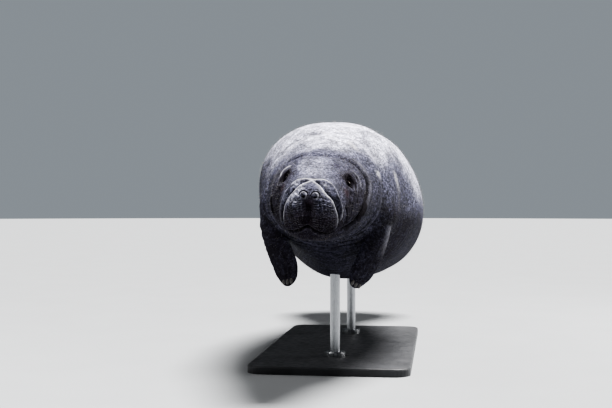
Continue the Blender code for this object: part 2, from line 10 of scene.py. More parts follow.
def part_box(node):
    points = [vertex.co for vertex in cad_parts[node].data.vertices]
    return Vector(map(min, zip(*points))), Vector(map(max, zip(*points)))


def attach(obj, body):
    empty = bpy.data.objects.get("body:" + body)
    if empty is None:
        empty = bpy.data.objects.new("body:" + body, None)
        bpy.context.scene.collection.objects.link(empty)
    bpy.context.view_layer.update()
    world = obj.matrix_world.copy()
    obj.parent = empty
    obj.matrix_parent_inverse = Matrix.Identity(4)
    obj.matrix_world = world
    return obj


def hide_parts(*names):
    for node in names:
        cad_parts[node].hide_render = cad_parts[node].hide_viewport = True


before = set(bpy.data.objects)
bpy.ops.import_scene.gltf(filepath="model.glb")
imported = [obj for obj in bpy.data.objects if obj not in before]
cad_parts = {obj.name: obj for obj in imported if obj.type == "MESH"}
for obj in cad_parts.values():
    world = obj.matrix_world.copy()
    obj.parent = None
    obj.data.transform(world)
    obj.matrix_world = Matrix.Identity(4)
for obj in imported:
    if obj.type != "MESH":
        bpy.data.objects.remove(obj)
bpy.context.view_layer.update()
print("frame loaded")

# The smooth body, as the solids have it. A station is the distance from the snout, half width,
# height of the back, depth of the belly, height of the widest point, and corner power above and below it.
body = {
    "length": 2.8,
    "axisHeight": 0.64,
    "snoutY": -1.15,
    "snoutRound": 0.085,
    "snoutPower": 2.45,
    "snoutLean": -0.16,
    "tailRound": 0.235,
    "tailPower": 2.15,
    "ringLean": 0.33,
    "headRoll": radians(4.0),
    "stations": np.array([
        (0.000, 0.086, 0.068, -0.112, -0.030, 2.35, 2.35),
        (0.050, 0.096, 0.080, -0.116, -0.028, 2.35, 2.35),
        (0.095, 0.110, 0.097, -0.119, -0.020, 2.25, 2.25),
        (0.170, 0.138, 0.132, -0.123, -0.004, 2.15, 2.15),
        (0.235, 0.157, 0.160, -0.127, 0.004, 2.10, 2.10),
        (0.300, 0.173, 0.186, -0.128, 0.008, 2.05, 2.05),
        (0.385, 0.199, 0.218, -0.136, 0.010, 2.05, 2.05),
        (0.500, 0.238, 0.261, -0.186, 0.006, 2.10, 2.05),
        (0.700, 0.294, 0.317, -0.254, -0.005, 2.33, 2.05),
        (0.950, 0.341, 0.330, -0.303, -0.009, 2.00, 2.02),
        (1.200, 0.351, 0.346, -0.316, -0.021, 1.97, 2.30),
        (1.450, 0.334, 0.324, -0.311, -0.016, 2.00, 2.12),
        (1.700, 0.289, 0.268, -0.273, -0.020, 2.03, 2.05),
        (1.920, 0.226, 0.188, -0.218, -0.028, 2.00, 2.00),
        (2.090, 0.182, 0.112, -0.168, -0.040, 2.00, 2.00),
        (2.200, 0.174, 0.062, -0.136, -0.044, 2.00, 2.00),
        (2.340, 0.236, 0.012, -0.111, -0.054, 2.00, 2.00),
        (2.480, 0.296, -0.024, -0.102, -0.066, 2.00, 2.00),
        (2.580, 0.314, -0.045, -0.103, -0.075, 2.00, 2.00),
        (2.800, 0.314, -0.072, -0.108, -0.090, 2.00, 2.00),
    ]),
}


# A smooth curve through values at keys
def through(keys, values, at):
    keys = np.asarray(keys, float)
    values = np.asarray(values, float)
    slope = np.gradient(values, keys)
    at = np.clip(at, keys[0], keys[-1])
    i = np.clip(np.searchsorted(keys, at, side="right") - 1, 0, len(keys) - 2)
    span = keys[i + 1] - keys[i]
    t = (at - keys[i]) / span
    start = values[i] * (1 + 2 * t) * (1 - t) ** 2 + slope[i] * span * t * (1 - t) ** 2
    end = values[i + 1] * t * t * (3 - 2 * t) + slope[i + 1] * span * t * t * (t - 1)
    return start + end


def smooth(low, high, at):
    t = np.clip((np.asarray(at, float) - low) / (high - low), 0, 1)
    return t * t * (3 - 2 * t)


# The same curve falling from 1 to 0
def falling(low, high, at):
    return 1 - smooth(low, high, at)


def signedPower(value, power):
    return np.sign(value) * np.abs(value) ** power


def closure(s):
    front = np.clip((body["snoutRound"] - s) / body["snoutRound"], 0, 1)
    rear = np.clip((s - (body["length"] - body["tailRound"])) / body["tailRound"], 0, 1)
    snout = (1 - front ** body["snoutPower"]) ** (1 / body["snoutPower"])
    tail = (1 - rear ** body["tailPower"]) ** (1 / body["tailPower"])
    return snout * tail


def section(s, angle):
    keys, width, top, bottom, centre, powerAbove, powerBelow = body["stations"].T
    grow = closure(s)
    middle = through(keys, centre, s)
    bend = 2 / np.where(np.cos(angle) > 0, through(keys, powerAbove, s), through(keys, powerBelow, s))
    up = through(keys, top, s) - middle
    down = middle - through(keys, bottom, s)
    x = through(keys, width, s) * grow * signedPower(np.sin(angle), bend)
    along = signedPower(np.cos(angle), bend)
    return x, middle + grow * np.where(along > 0, up, down) * along


def ringLean(s):
    return body["ringLean"] * smooth(0.27, 0.42, s) * falling(0.45, 0.95, s)


def surface(s, angle):
    y = s + 0 * angle
    for _ in range(6):
        x, z = section(y, angle)
        y = s + ringLean(s) * z
    x, z = section(y, angle)
    y = y + body["snoutLean"] * (z + 0.02) * falling(0.0, 0.16, y)
    return np.stack([x, y, z], axis=-1)


# The head rolls a little on the neck, and the whole is put over the stand
def pose(points):
    x, y, z = np.moveaxis(np.asarray(points, float), -1, 0)
    roll = body["headRoll"] * falling(0.32, 0.85, y)
    x, z = x * np.cos(roll) + z * np.sin(roll), z * np.cos(roll) - x * np.sin(roll)
    return np.stack([x, y + body["snoutY"], z + body["axisHeight"]], axis=-1)


def angles(columns):
    return np.arange(columns) * 2 * pi / columns


def normalsOf(grid):
    normal = np.cross(np.roll(grid, -1, axis=1) - np.roll(grid, 1, axis=1), np.gradient(grid, axis=0))
    return normal / np.maximum(np.linalg.norm(normal, axis=-1, keepdims=True), 1e-12)


def unit(vector):
    vector = np.asarray(vector, float)
    return vector / np.linalg.norm(vector, axis=-1, keepdims=True)


def snoutRings(count, first=0.02):
    turn = np.linspace(first, pi / 2, count)
    return body["snoutRound"] * (1 - np.cos(turn) ** (2 / body["snoutPower"]))


# The smooth head as a table of points, ring by ring; its first rings make the face
lookupColumns = 240
faceRings = 140
lookupRings = np.concatenate([snoutRings(70), np.linspace(0.088, 0.62, 140)])
lookup = surface(lookupRings[:, None], angles(lookupColumns)[None, :])


# A point of the head under a front view (x, z), or under a side view (y, z)
def onFace(x, z):
    front = lookup[:faceRings].reshape(-1, 3)
    return front[np.argmin((front[:, 0] - x) ** 2 + (front[:, 2] - z) ** 2 + 0.02 * front[:, 1] ** 2)]


def onSide(y, z, side):
    half = lookup[:, 1:lookupColumns // 2].reshape(-1, 3)
    return half[np.argmin((half[:, 1] - y) ** 2 + (half[:, 2] - z) ** 2)] * [side, 1, 1]


# The same point, but between the points of the table. The view names the axes seen: x and z from
# the front, y and z from the side.
def exactly(first, second, view, side=1):
    fromFront = view == (0, 2)
    rows, columns = (faceRings, lookupColumns) if fromFront else (len(lookup) - 1, lookupColumns // 2)
    table = lookup[:rows, :columns]
    far = (table[..., view[0]] - first) ** 2 + (table[..., view[1]] - second) ** 2
    if fromFront:
        far = far + 0.02 * table[..., 1] ** 2
    else:
        far[:, 0] = 9
    r, c = np.unravel_index(np.argmin(far), far.shape)
    r = int(np.clip(r, 1, rows - 2))
    along = (lookup[r + 1, c] - lookup[r - 1, c]) / 2
    around = (lookup[r, (c + 1) % lookupColumns] - lookup[r, c - 1]) / 2
    spot = lookup[r, c]
    system = np.array([[along[k], around[k]] for k in view])
    step = np.linalg.lstsq(system, np.array([first, second]) - spot[list(view)], rcond=None)[0]
    step = np.clip(step, -0.7, 0.7)
    return (spot + step[0] * along + step[1] * around) * [side, 1, 1]


def lengthsAlong(curve):
    return np.concatenate([[0], np.cumsum(np.linalg.norm(np.diff(curve, axis=0), axis=1))])


def finer(curve, count):
    keys = lengthsAlong(curve)
    at = np.linspace(0, keys[-1], count)
    return np.stack([through(keys, curve[:, k], at) for k in range(3)], axis=1)


# A line given from the front: one side of it, or both with the right half mirrored or given apart
def faceCurve(line, count=60, side=0, right=None):
    half = [exactly(x, z, (0, 2)) for x, z in line]
    if side:
        return finer(np.array([p * [side, 1, 1] for p in half]), count)
    other = half if right is None else [exactly(x, z, (0, 2)) for x, z in right]
    return finer(np.array([p * [-1, 1, 1] for p in other[:0:-1]] + half), count)


def sideCurve(line, side, count=60):
    return finer(np.array([exactly(y, z, (1, 2), side) for y, z in line]), count)


# Distance of each point to a line, or 9 where it is out of reach
def farFrom(points, curve, reach=0.05):
    flat = points.reshape(-1, 3)
    far = np.full(len(flat), 9.0)
    near = np.all((flat > curve.min(axis=0) - reach) & (flat < curve.max(axis=0) + reach), axis=1)
    part = flat[near]
    best = np.full(len(part), 9.0)
    for a, b in zip(curve[:-1], curve[1:]):
        way = b - a
        t = np.clip((part - a) @ way / max(way @ way, 1e-12), 0, 1)
        best = np.minimum(best, np.linalg.norm(part - a - t[:, None] * way, axis=1))
    far[near] = best
    return far.reshape(points.shape[:-1])


# A bell of height 1, from pairs of a distance and its reach
def bell(*distancesAndReaches):
    return np.exp(-sum((distance / reach) ** 2 for distance, reach in distancesAndReaches))


# Slow wobble between -1 and 1, the same each run
def wobble(points, size, seed):
    draw = np.random.default_rng(seed)
    total = np.zeros(points.shape[:-1])
    for _ in range(7):
        way = unit(draw.normal(size=3)) * 2 * pi / size * draw.uniform(0.6, 1.5)
        total += np.sin(points @ way + draw.uniform(0, 2 * pi))
    return total / 4


# Landmarks of the head, as (x, z) seen from the front for the left half. The muzzle turns a little,
# so its edges differ from left to right.
face = {
    "eye": (0.178, 0.081),
    "nostril": (0.0185, 0.0245),
    "padCentre": (0.048, -0.03),
    "padLeft": (
        (0.0, 0.0785), (0.015, 0.0735), (0.031, 0.063), (0.0525, 0.0385), (0.0725, 0.018),
        (0.086, -0.0125), (0.093, -0.034), (0.0935, -0.052), (0.09, -0.072),
    ),
    "padRight": (
        (0.0, 0.0785), (0.016, 0.073), (0.0355, 0.0625), (0.055, 0.039), (0.072, 0.0115),
        (0.0795, -0.0095), (0.083, -0.039), (0.084, -0.055), (0.0825, -0.072),
    ),
    "bridgeLeft": (
        (0.0, 0.08), (0.022, 0.0795), (0.042, 0.0785), (0.055, 0.0732), (0.0695, 0.0585),
        (0.084, 0.0303), (0.0955, 0.0058), (0.1, -0.0133), (0.099, -0.033), (0.095, -0.052),
    ),
    "bridgeRight": (
        (0.0, 0.08), (0.018, 0.079), (0.0335, 0.0765), (0.051, 0.07), (0.0625, 0.053),
        (0.076, 0.0345), (0.0838, 0.013), (0.088, -0.0129), (0.09, -0.04), (0.0885, -0.06),
    ),
    "mouth": (
        (0.0, -0.074), (0.012, -0.076), (0.028, -0.083), (0.05, -0.088), (0.07, -0.086),
        (0.085, -0.078),
    ),
    # seen from the side, as (y, z)
    "browLeft": ((0.233, 0.071), (0.242, 0.083), (0.246, 0.096), (0.246, 0.108), (0.241, 0.118)),
    "browRight": (
        (0.215, 0.074), (0.23, 0.086), (0.252, 0.0985), (0.256, 0.1105), (0.246, 0.119), (0.233, 0.1235),
    ),
    "cheekLeft": (
        (0.262, 0.17), (0.28, 0.168), (0.3, 0.16), (0.309, 0.145), (0.308, 0.125), (0.308, 0.1),
        (0.303, 0.08), (0.29, 0.06), (0.272, 0.04), (0.252, 0.018), (0.234, -0.001), (0.217, -0.019),
        (0.201, -0.035), (0.176, -0.054), (0.145, -0.07), (0.112, -0.08),
    ),
    "cheekRight": (
        (0.262, 0.17), (0.28, 0.168), (0.3, 0.16), (0.311, 0.145), (0.311, 0.125), (0.306, 0.1),
        (0.298, 0.08), (0.288, 0.06), (0.276, 0.04), (0.262, 0.018), (0.246, -0.001), (0.228, -0.019),
        (0.208, -0.035), (0.18, -0.054), (0.147, -0.07), (0.112, -0.08),
    ),
}


def mouthHeight(x):
    return np.interp(np.abs(x), *zip(*face["mouth"]))


# Soft forms that the solids have too: height first, then how far it reaches, or a shift and a reach
soft = {
    "cheekPad": (0.012, 0.042, 0.055),
    "eyePit": (-0.006, 0.026),
    "brow": (0.003, 0.036, 0.012),
    "philtrum": (-0.01, 0.012),
    "chin": (0.006, 0.05, 0.016),
    "padGroove": (-0.006, 0.008),
    "bridgeRidge": (0.004, 0.008),
    "napeValley": (-0.008, 0.02),
    "cheekFold": (-0.011, 0.01),
    "cheekRim": (0.005, 0.024, 0.013),
    "neckEnd": 0.43,
    "neckFold": (-0.013, 0.02),
    "neckRim": (0.006, -0.045, 0.024),
    "shoulder": (0.02, 0.076),
    "shoulderSpot": (0.236, 0.505, -0.06),
    # swells and hollows of the trunk: degrees round from the back, reach in degrees, height
    "trunk": (
        (-62, 26, 0.009), (-97, 20, -0.014), (-138, 30, -0.038),
        (180, 28, 0.012), (62, 28, -0.01), (104, 36, -0.004),
    ),
}
curves = {
    "pad": faceCurve(face["padLeft"], right=face["padRight"]),
    "bridge": faceCurve(face["bridgeLeft"], right=face["bridgeRight"]),
    "mouth": faceCurve(face["mouth"]),
    "cheekLeft": sideCurve(face["cheekLeft"], 1),
    "cheekRight": sideCurve(face["cheekRight"], -1),
}


def distanceTo(points, spot):
    return np.linalg.norm(points - spot, axis=-1)


# How far round a point lies from the top of the back, on either side
def turnFrom(angle):
    return np.abs((angle + pi) % (2 * pi) - pi)


def softHeight(points, s, angle):
    x, y, z = np.moveaxis(points, -1, 0)
    height = 0 * x

    # Adds a form of the table. One value more than there are distances shifts the distance.
    def add(name, *distances, where=1.0):
        nonlocal height
        high, *reaches = soft[name]
        if len(reaches) > len(distances):
            distances = [distances[0] - reaches.pop(0)]
        height += where * (high * bell(*zip(distances, reaches)))

    front = falling(0.03, 0.12, y)
    for side, cheekName in ((-1, "cheekRight"), (1, "cheekLeft")):
        add("cheekPad", x - side * face["padCentre"][0], z - face["padCentre"][1], where=front)
        eye = distanceTo(points, onSide(*face["eye"], side))
        add("eyePit", eye)
        add("brow", eye)
        cheek = farFrom(points, curves[cheekName], 0.07)
        sides = 0.25 + 0.75 * smooth(0.08, 0.14, np.abs(x))
        add("cheekFold", cheek, where=sides)
        add("cheekRim", cheek, where=sides)
        add("napeValley", cheek, where=0.5 * falling(0.1, 0.15, np.abs(x)) * (z > 0))
    add("philtrum", x, where=front * (smooth(-0.095, -0.07, z) * falling(0.0, 0.02, z)))
    add("chin", x, z + 0.108, where=front)
    add("padGroove", farFrom(points, curves["pad"]))
    add("bridgeRidge", farFrom(points, curves["bridge"]))
    flank = 0.25 + 0.75 * bell((turnFrom(angle) - 1.75, 0.85))
    add("neckFold", s - soft["neckEnd"], where=flank)
    add("neckRim", s - soft["neckEnd"], where=flank)
    for side in (-1, 1):
        add("shoulder", distanceTo(points, np.array(soft["shoulderSpot"]) * [side, 1, 1]))
    trunk = smooth(0.48, 0.7, s) * falling(1.5, 1.95, s)
    for at, reach, high in soft["trunk"]:
        apart = (np.degrees(angle) - at + 180) % 360 - 180
        height += trunk * (high * bell((apart, reach)))
    return height


# Where each eye sits: centre of the eyeball from the solids, and the slanted opening round it
almond = ((0.0995, 0.106), (0.117, 0.072))
eyePlaces = {}
for side in (-1, 1):
    spot = onSide(*face["eye"], side)
    out = unit(spot - [0.0, spot[1] + 0.05, spot[2] * 0.15])
    slant = (onFace(*almond[1]) - onFace(*almond[0])) * [side, 1, 1]
    slant = unit(slant - (slant @ out) * out)
    eyePlaces[side] = {"spot": spot, "out": out, "slant": slant, "across": np.cross(out, slant)}
print("landmarks placed")

# Fine forms: height or depth first, then a shift, then a width
fine = {
    "padRim": (0.0044, -0.0042, 0.0034),
    "padGroove": (-0.009, 0.0022, 0.0032),
    "bridgeRim": (0.004, 0.0012, 0.0036),
    "bridgeGroove": (-0.0026, 0.0105, 0.0024),
    "bandFall": -0.005,
    "mouthSlit": (-0.015, 0.0026),
    "lips": (0.0035, 0.0085, 0.005),
    "eyeOpening": (0.0078, 0.0054),
    "lid": (0.0038, 1.36, 0.27),
    "lidCrease": (-0.0022, 2.0, 0.2),
    "padWrinkle": (0.0014, 0.0074),
    "cheekCrease": (-0.0105, 0.0042),
    "cheekRoll": (0.005, 0.012, 0.012),
}
# Folds: a line on the face, the depth and width of its groove, and the height of its rim
faceFolds = [
    # brow fold round the outside of the eye, and two more outside it
    (
        ((0.1065, 0.113), (0.119, 0.101), (0.1275, 0.088), (0.131, 0.078), (0.131, 0.066)),
        -0.0036, 0.0034, 0.0014,
    ),
    (
        ((0.12, 0.116), (0.13, 0.104), (0.137, 0.09), (0.1395, 0.072), (0.141, 0.05)),
        -0.0036, 0.0038, 0.0008,
    ),
    (
        ((0.138, 0.108), (0.1455, 0.092), (0.149, 0.07), (0.151, 0.044), (0.149, 0.02)),
        -0.003, 0.004, 0.001,
    ),
    # the pit under the eye and the creases that run down from it
    (((0.1295, 0.05), (0.1225, 0.036), (0.1255, 0.014), (0.1215, -0.01)), -0.0018, 0.008, 0.0),
    (((0.112, 0.052), (0.1145, 0.034), (0.1155, 0.012), (0.113, -0.008)), -0.002, 0.0034, 0.0006),
    # creases between the bridge fold and the cheek
    (((0.117, 0.0), (0.121, -0.022), (0.12, -0.044), (0.112, -0.062)), -0.0028, 0.0042, 0.001),
    (((0.133, 0.01), (0.134, -0.012), (0.13, -0.034), (0.119, -0.054)), -0.0022, 0.004, 0.001),
    # folds over the inner end of the eye
    (((0.07, 0.118), (0.083, 0.106), (0.094, 0.092)), -0.0024, 0.0022, 0.0016),
    (((0.062, 0.112), (0.076, 0.099), (0.088, 0.083)), -0.0022, 0.0022, 0.0016),
    (((0.078, 0.124), (0.092, 0.113), (0.101, 0.103)), -0.0022, 0.0022, 0.0016),
    (((0.058, 0.104), (0.07, 0.093), (0.081, 0.078)), -0.0016, 0.002, 0.0012),
    (((0.085, 0.086), (0.091, 0.076), (0.095, 0.063)), -0.002, 0.0022, 0.0014),
    (((0.094, 0.072), (0.1, 0.06), (0.103, 0.044)), -0.002, 0.0022, 0.0014),
    # soft lines across the forehead and the nape
    (((0.0, 0.132), (0.024, 0.13), (0.046, 0.123)), -0.0014, 0.0026, 0.001),
    (((0.0, 0.146), (0.03, 0.144), (0.06, 0.134), (0.078, 0.122)), -0.0018, 0.003, 0.0012),
    # crossing creases under the corners of the pads
    (((0.06, -0.066), (0.074, -0.054), (0.086, -0.046)), -0.0012, 0.0016, 0.0006),
    (((0.052, -0.074), (0.068, -0.064), (0.084, -0.058)), -0.0012, 0.0016, 0.0006),
]
# Folds across the body: distance from the snout, depth, and for the throat also width and the darkness of its
# painted shade
throatFolds = [
    (0.33, -0.004, 0.0055, 0.5), (0.368, -0.0045, 0.0055, 0.5), (0.43, -0.008, 0.0065, 0.8),
    (0.462, -0.004, 0.005, 0.5), (0.492, -0.0045, 0.0055, 0.5), (0.526, -0.0035, 0.005, 0.4),
]
flankFolds = [
    (0.62, -0.0018), (0.735, -0.0014), (1.86, -0.003), (1.98, -0.004), (2.1, -0.005), (2.18, -0.004),
]



# How far outside a closed face line a point is, less than nothing inside
def outsideOf(points, name):
    distance = farFrom(points, curves[name], 0.045)
    centre = np.array([0.0, -0.03])
    line = curves[name][:, [0, 2]] - centre
    lineAngle = np.unwrap(np.arctan2(line[:, 0], line[:, 1]))
    order = np.argsort(lineAngle)
    lineRadius = np.linalg.norm(line, axis=1)
    own = points[:, [0, 2]] - centre
    ownAngle = np.arctan2(own[:, 0], own[:, 1])
    edge = np.interp(ownAngle, lineAngle[order], lineRadius[order])
    return np.where(np.linalg.norm(own, axis=1) > edge, distance, -distance)


# The painted shade round an eye: a slanting oval seen from the front
socketSlant = 0.88


def socketAt(points, side, long, wide):
    near = points - eyePlaces[side]["spot"]
    across = side * near[:, 0] + 0.006
    up = near[:, 2] - 0.006
    u = across * cos(socketSlant) - up * sin(socketSlant)
    w = across * sin(socketSlant) + up * cos(socketSlant)
    flank = (points[:, 1] > 0.09) & (side * points[:, 0] > 0.04) & (points[:, 1] < 0.26)
    return np.where(flank, np.exp(-((u / long) ** 4) - (w / wide) ** 4), 0)


# Heights of the fine forms over the soft ones, how much painted shade each point gets in a crease or painted
# highlight on a rim, and how far it is pushed towards the snout
def fineHeight(points, s, angle):
    x, y, z = points.T
    height, crease, shine, push = np.zeros((4, len(points)))
    front = falling(0.05, 0.13, y)
    turn = turnFrom(angle)

    # the first adds painted shade, the second a painted highlight
    def darken(amount):
        np.maximum(crease, amount, out=crease)

    def addHighlight(amount):
        np.maximum(shine, amount, out=shine)

    def add(high, distance, width, where=1.0):
        nonlocal height
        height += where * (high * bell((distance, width)))

    # a groove, with painted shade along it
    def groove(depth, distance, width, dark=1.0, where=1.0):
        add(depth, distance, width, where)
        darken(where * (min(1.0, dark) * bell((distance, width * 1.15))))

    # The same two for a form of the table: height, shift, width
    def addForm(name, distance, where=1.0):
        high, shift, width = fine[name]
        add(high, distance - shift, width, where)

    def cutForm(name, distance, dark, where):
        depth, shift, width = fine[name]
        groove(depth, distance - shift, width, dark, where)

    # edges of the muzzle pad and of the bridge, with painted highlights on their rims and painted shade in
    # their grooves
    pad = outsideOf(points, "pad")
    bridge = outsideOf(points, "bridge")
    low = smooth(-0.085, -0.062, z) * (y < 0.2)
    addForm("padRim", pad, low)
    cutForm("padGroove", pad - 0.0006, 1.0, low * (0.12 + 0.88 * falling(-0.018, 0.026, z)))
    edgeShine = 0.3 + 0.7 * smooth(-0.066, -0.045, z)
    edgeWide = 0.0032 + 0.0012 * smooth(0.0, 0.05, x)
    addHighlight(low * edgeShine * bell((pad - fine["padRim"][1], edgeWide)))
    addForm("bridgeRim", bridge, low * (1 - 0.65 * smooth(0.052, 0.072, z)))
    crest = np.maximum(smooth(0.056, 0.076, z), 0.9 * (x > 0) * bell((z + 0.02, 0.026)))
    addHighlight(low * np.maximum(crest, 0.28) * bell((bridge - fine["bridgeRim"][1] - 0.0006, 0.003)))
    cutForm("bridgeGroove", bridge, 0.45, smooth(0.05, 0.08, z))
    # the band that slopes down from the bridge to the pad, with painted shade darkest low at the sides
    between = (pad > 0) & (bridge < 0) & (y < 0.2)
    share = np.clip(pad / np.maximum(pad - bridge, 1e-6), 0, 1)
    apart = smooth(0.003, 0.011, pad - bridge)
    fall = fine["bandFall"] * (1 - 0.45 * smooth(-0.02, 0.02, z)) * (1 - 0.75 * smooth(0.035, 0.06, z))
    height += np.where(between, fall * apart * (1 - share) ** 2, 0) * low
    extent = 0.18 + np.where(x > 0, 0.42, 0.2) * falling(-0.036, 0.01, z)
    depth = falling(-0.014, 0.025, z) * falling(0.65 * extent, 1.35 * extent, share)
    darken(np.where(between, depth, 0) * low)
    # mouth
    mouth = farFrom(points, curves["mouth"])
    groove(fine["mouthSlit"][0], mouth, fine["mouthSlit"][1])
    addForm("lips", mouth, front)
    height += front * (z > mouthHeight(x)) * (0.003 * bell((mouth - 0.014, 0.008), (x, 0.075)))
    # nostrils, with a painted highlight on the lit side of each rim and painted shade in the openings
    for side in (-1, 1):
        u = (x - side * face["nostril"][0]) * side
        w = z - face["nostril"][1]
        near = front * (y < 0.12)
        radius = np.hypot(u, w / 1.1)
        upper = smooth(-0.45, 0.3, w / np.maximum(radius, 1e-5))
        litSide = smooth(-0.9, 0.4, (side * u + 0.8 * w) / np.maximum(radius, 1e-5))
        add(0.0046, radius, 0.0145, near)
        add(0.0024, radius - 0.0098, 0.0026, near * upper)
        addHighlight(near * litSide * (0.42 * bell((radius - 0.0092, 0.0024))))
        groove(-0.0026, radius - 0.0142, 0.0018, 1.0, near * upper)
        groove(-0.011, np.hypot(u / 1.45, w + 0.0034), 0.003, 1.0, near)
        darken(near * (0.7 * bell((u / 1.3 + 0.001, 0.005), (w + 0.003, 0.0042))))
    groove(-0.0035, x, 0.003, 0.5, front * smooth(0.01, 0.02, z) * falling(0.04, 0.058, z))
    # philtrum
    # philtrum, with painted shade in it and in the lines of the star round it
    groove(-0.0058, np.hypot(x / 1.15, (z + 0.006) / 1.55), 0.0125, 0.3, front)
    groove(-0.0022, x, 0.0026, 0.45, front * smooth(-0.078, -0.06, z) * falling(-0.03, -0.012, z))
    star = smooth(0.1, 0.9, np.cos(9 * np.arctan2(x, z + 0.014) + 1.6 * wobble(points, 0.02, 15)))
    star = star * front * bell((np.hypot(x, z + 0.014) - 0.014, 0.01))
    height -= 0.0014 * star
    darken(0.4 * star)
    # wrinkles across the pads, broken up by a slow wobble, with painted shade in their grooves
    wander = wobble(points, 0.05, 3)
    across = z + 0.005 * wander + 0.0022 * wobble(points, 0.022, 16) - 0.1 * np.abs(x) * (np.abs(x) - 0.03)
    onPad = front * smooth(0.004, 0.02, -pad) * smooth(0.01, 0.022, np.abs(x))
    deep, step = fine["padWrinkle"]
    wave = (0.5 + 0.5 * np.cos(2 * pi * across / step)) ** 2
    strength = onPad * smooth(-0.08, -0.066, z) * falling(0.002, 0.022, z)
    strength = strength * np.clip(0.6 + 0.6 * wobble(points, 0.016, 4), 0, 1)
    height -= 2 * deep * strength * wave
    darken(0.66 * strength * wave)
    height += 0.0006 * onPad * wobble(points, 0.0075, 5) + 0.0006 * front * wobble(points, 0.014, 6)
    # eyes, with painted shade in the opening, in the creases round it and over the socket
    for side, place in eyePlaces.items():
        near = points - place["spot"]
        u = near @ place["slant"]
        w = near @ place["across"]
        close = np.linalg.norm(near, axis=1) < 0.06
        e = np.hypot(u / fine["eyeOpening"][0], w / fine["eyeOpening"][1])
        ahead = (y < place["spot"][1]) & close
        add(-0.005, np.hypot(near[:, 0], near[:, 2]), 0.013, ahead * smooth(1.7, 2.4, e))
        height -= 0.0075 * close * falling(0.8, 1.12, e)
        addForm("lid", e, close)
        darken(close * falling(0.95, 1.15, e))
        cutForm("lidCrease", e, 0.9, close)
        groove(-0.0014, e - 2.75 - 0.18 * wobble(points, 0.02, 8), 0.2, 0.6, close)
        groove(-0.0012, e - 3.5 - 0.25 * wobble(points, 0.02, 9), 0.22, 0.45, close)
        for end in (-1, 1):
            groove(-0.005, np.hypot((u - end * 0.015) / 1.6, w), 0.0036, 1.0, close)
        spokes = 0.5 + 0.5 * np.cos(np.arctan2(w, u) * 13 + 1.5 * wobble(points, 0.02, 10))
        height -= close * (0.0005 * spokes * bell((e - 2.3, 0.8)))
        darken(0.8 * socketAt(points, side, 0.027, 0.0135))
    # the brow that arches over the outer side of each socket, with a painted highlight along it
    for side, name, pale in ((-1, "browRight", 1.0), (1, "browLeft", 0.22)):
        brow = farFrom(points, sideCurve(face[name], side, 24), 0.03)
        add(0.003, brow, 0.0055)
        addHighlight(pale * bell((brow, 0.004)))
    # folds of the face, with painted shade in each groove, darker the deeper it is
    for side in (-1, 1):
        for line, depth, width, rim in faceFolds:
            distance = farFrom(points, faceCurve(line, 24, side), 0.03)
            groove(depth, distance, width * (1 + 0.25 * wobble(points, 0.03, 12)), min(1.0, -depth * 260))
            add(rim, distance - width * 2.1, width * 1.2, 0.6 * (y < 0.36))
    for side, name in ((1, "cheekLeft"), (-1, "cheekRight")):
        line = curves[name]
        fade = smooth(0.07, 0.13, np.abs(x)) * (np.sign(x) == side)
        fade = fade * (1 - np.where(x < 0, 0.85, 0.6) * smooth(0.105, 0.14, z))
        # a point is behind the fold where it is further back than the line's point at its height
        order = np.argsort(line[:, 2])
        behind = y > np.interp(z, line[order, 2], line[order, 1])
        signed = farFrom(points, line, 0.05) * np.where(behind, 1, -1)
        depth, width = fine["cheekCrease"]
        # the crease, with painted shade along it
        groove(depth, signed + 0.001, width, 1.0, fade)
        darken(fade * bell((signed, 0.0062)))
        # its shaded far side, wide where the neck swells behind the head
        behindIt = fade * smooth(-0.06, -0.03, z) * falling(0.11, 0.14, z)
        deep = 0.004 + 0.003 * falling(0.05, 0.085, z) + 0.011 * falling(-0.01, 0.022, z)
        darken(behindIt * smooth(-0.004, 0.002, signed) * falling(deep, deep + 0.006, signed))
        high, shift, width = fine["cheekRoll"]
        raised = fade * (high * bell((signed - shift, width)))
        height += raised
        push += 0.6 * raised
        # a painted highlight along the lit side of the fold, just in front of the crease
        lit = smooth(-0.04, 0.0, z) * (0.6 + 0.4 * wander)
        addHighlight(fade * (0.5 * bell((signed + 0.0105, 0.0028))) * lit)
        groove(-0.0022, signed + 0.024 + 0.002 * wander, 0.0026, 0.6, fade)
        groove(-0.0018, signed - 0.036 - 0.003 * wander, 0.0028, 0.35, fade * (y < 0.34))
    # the throat and the chest: deep folds across the underside, with painted shade in them
    under = bell((turn - 2.6, 0.85))
    sway = 0.01 * wobble(points, 0.16, 14)
    for at, depth, width, dark in throatFolds:
        groove(depth, s - at - sway, width, dark, under)
    # slow lumps of fat, and long lines where the hide folds on the flanks, with a little painted shade in
    # them
    height += 0.0035 * smooth(0.3, 0.7, s) * falling(2.2, 2.6, s) * wobble(points, 0.42, 20)
    height += 0.0012 * smooth(0.3, 0.6, s) * wobble(points, 0.13, 21)
    sway = 0.02 * wobble(points, 0.5, 22)
    for at, depth in flankFolds:
        groove(depth, s - at - sway, 0.014, 0.12, bell((turn - 1.9, 0.8)))
    # rays of the tail paddle
    rays = np.cos(x * 150 / (0.6 + 0.4 * s)) * falling(0.24, 0.31, np.abs(x))
    height += smooth(2.3, 2.55, s) * 0.0016 * rays
    return height, crease, shine, push


# Mesh of the body: a fine grid over head and neck, stitched to one with half the columns behind
mesh = {
    "frontColumns": 232,
    "snoutRings": 50,
    "faceEnd": 0.3,
    "faceStep": 0.003,
    "neckEnd": 0.56,
    "neckStep": 0.0055,
    "bodyStep": 0.024,
    "tailRings": 26,
}


# Each column of a ring with the next one round
def neighbours(columns):
    return [(c, (c + 1) % columns) for c in range(columns)]


def ringFaces(first, rings, columns):
    starts = range(first, first + (rings - 1) * columns, columns)
    return [(a + c, a + d, a + columns + d, a + columns + c) for a in starts for c, d in neighbours(columns)]


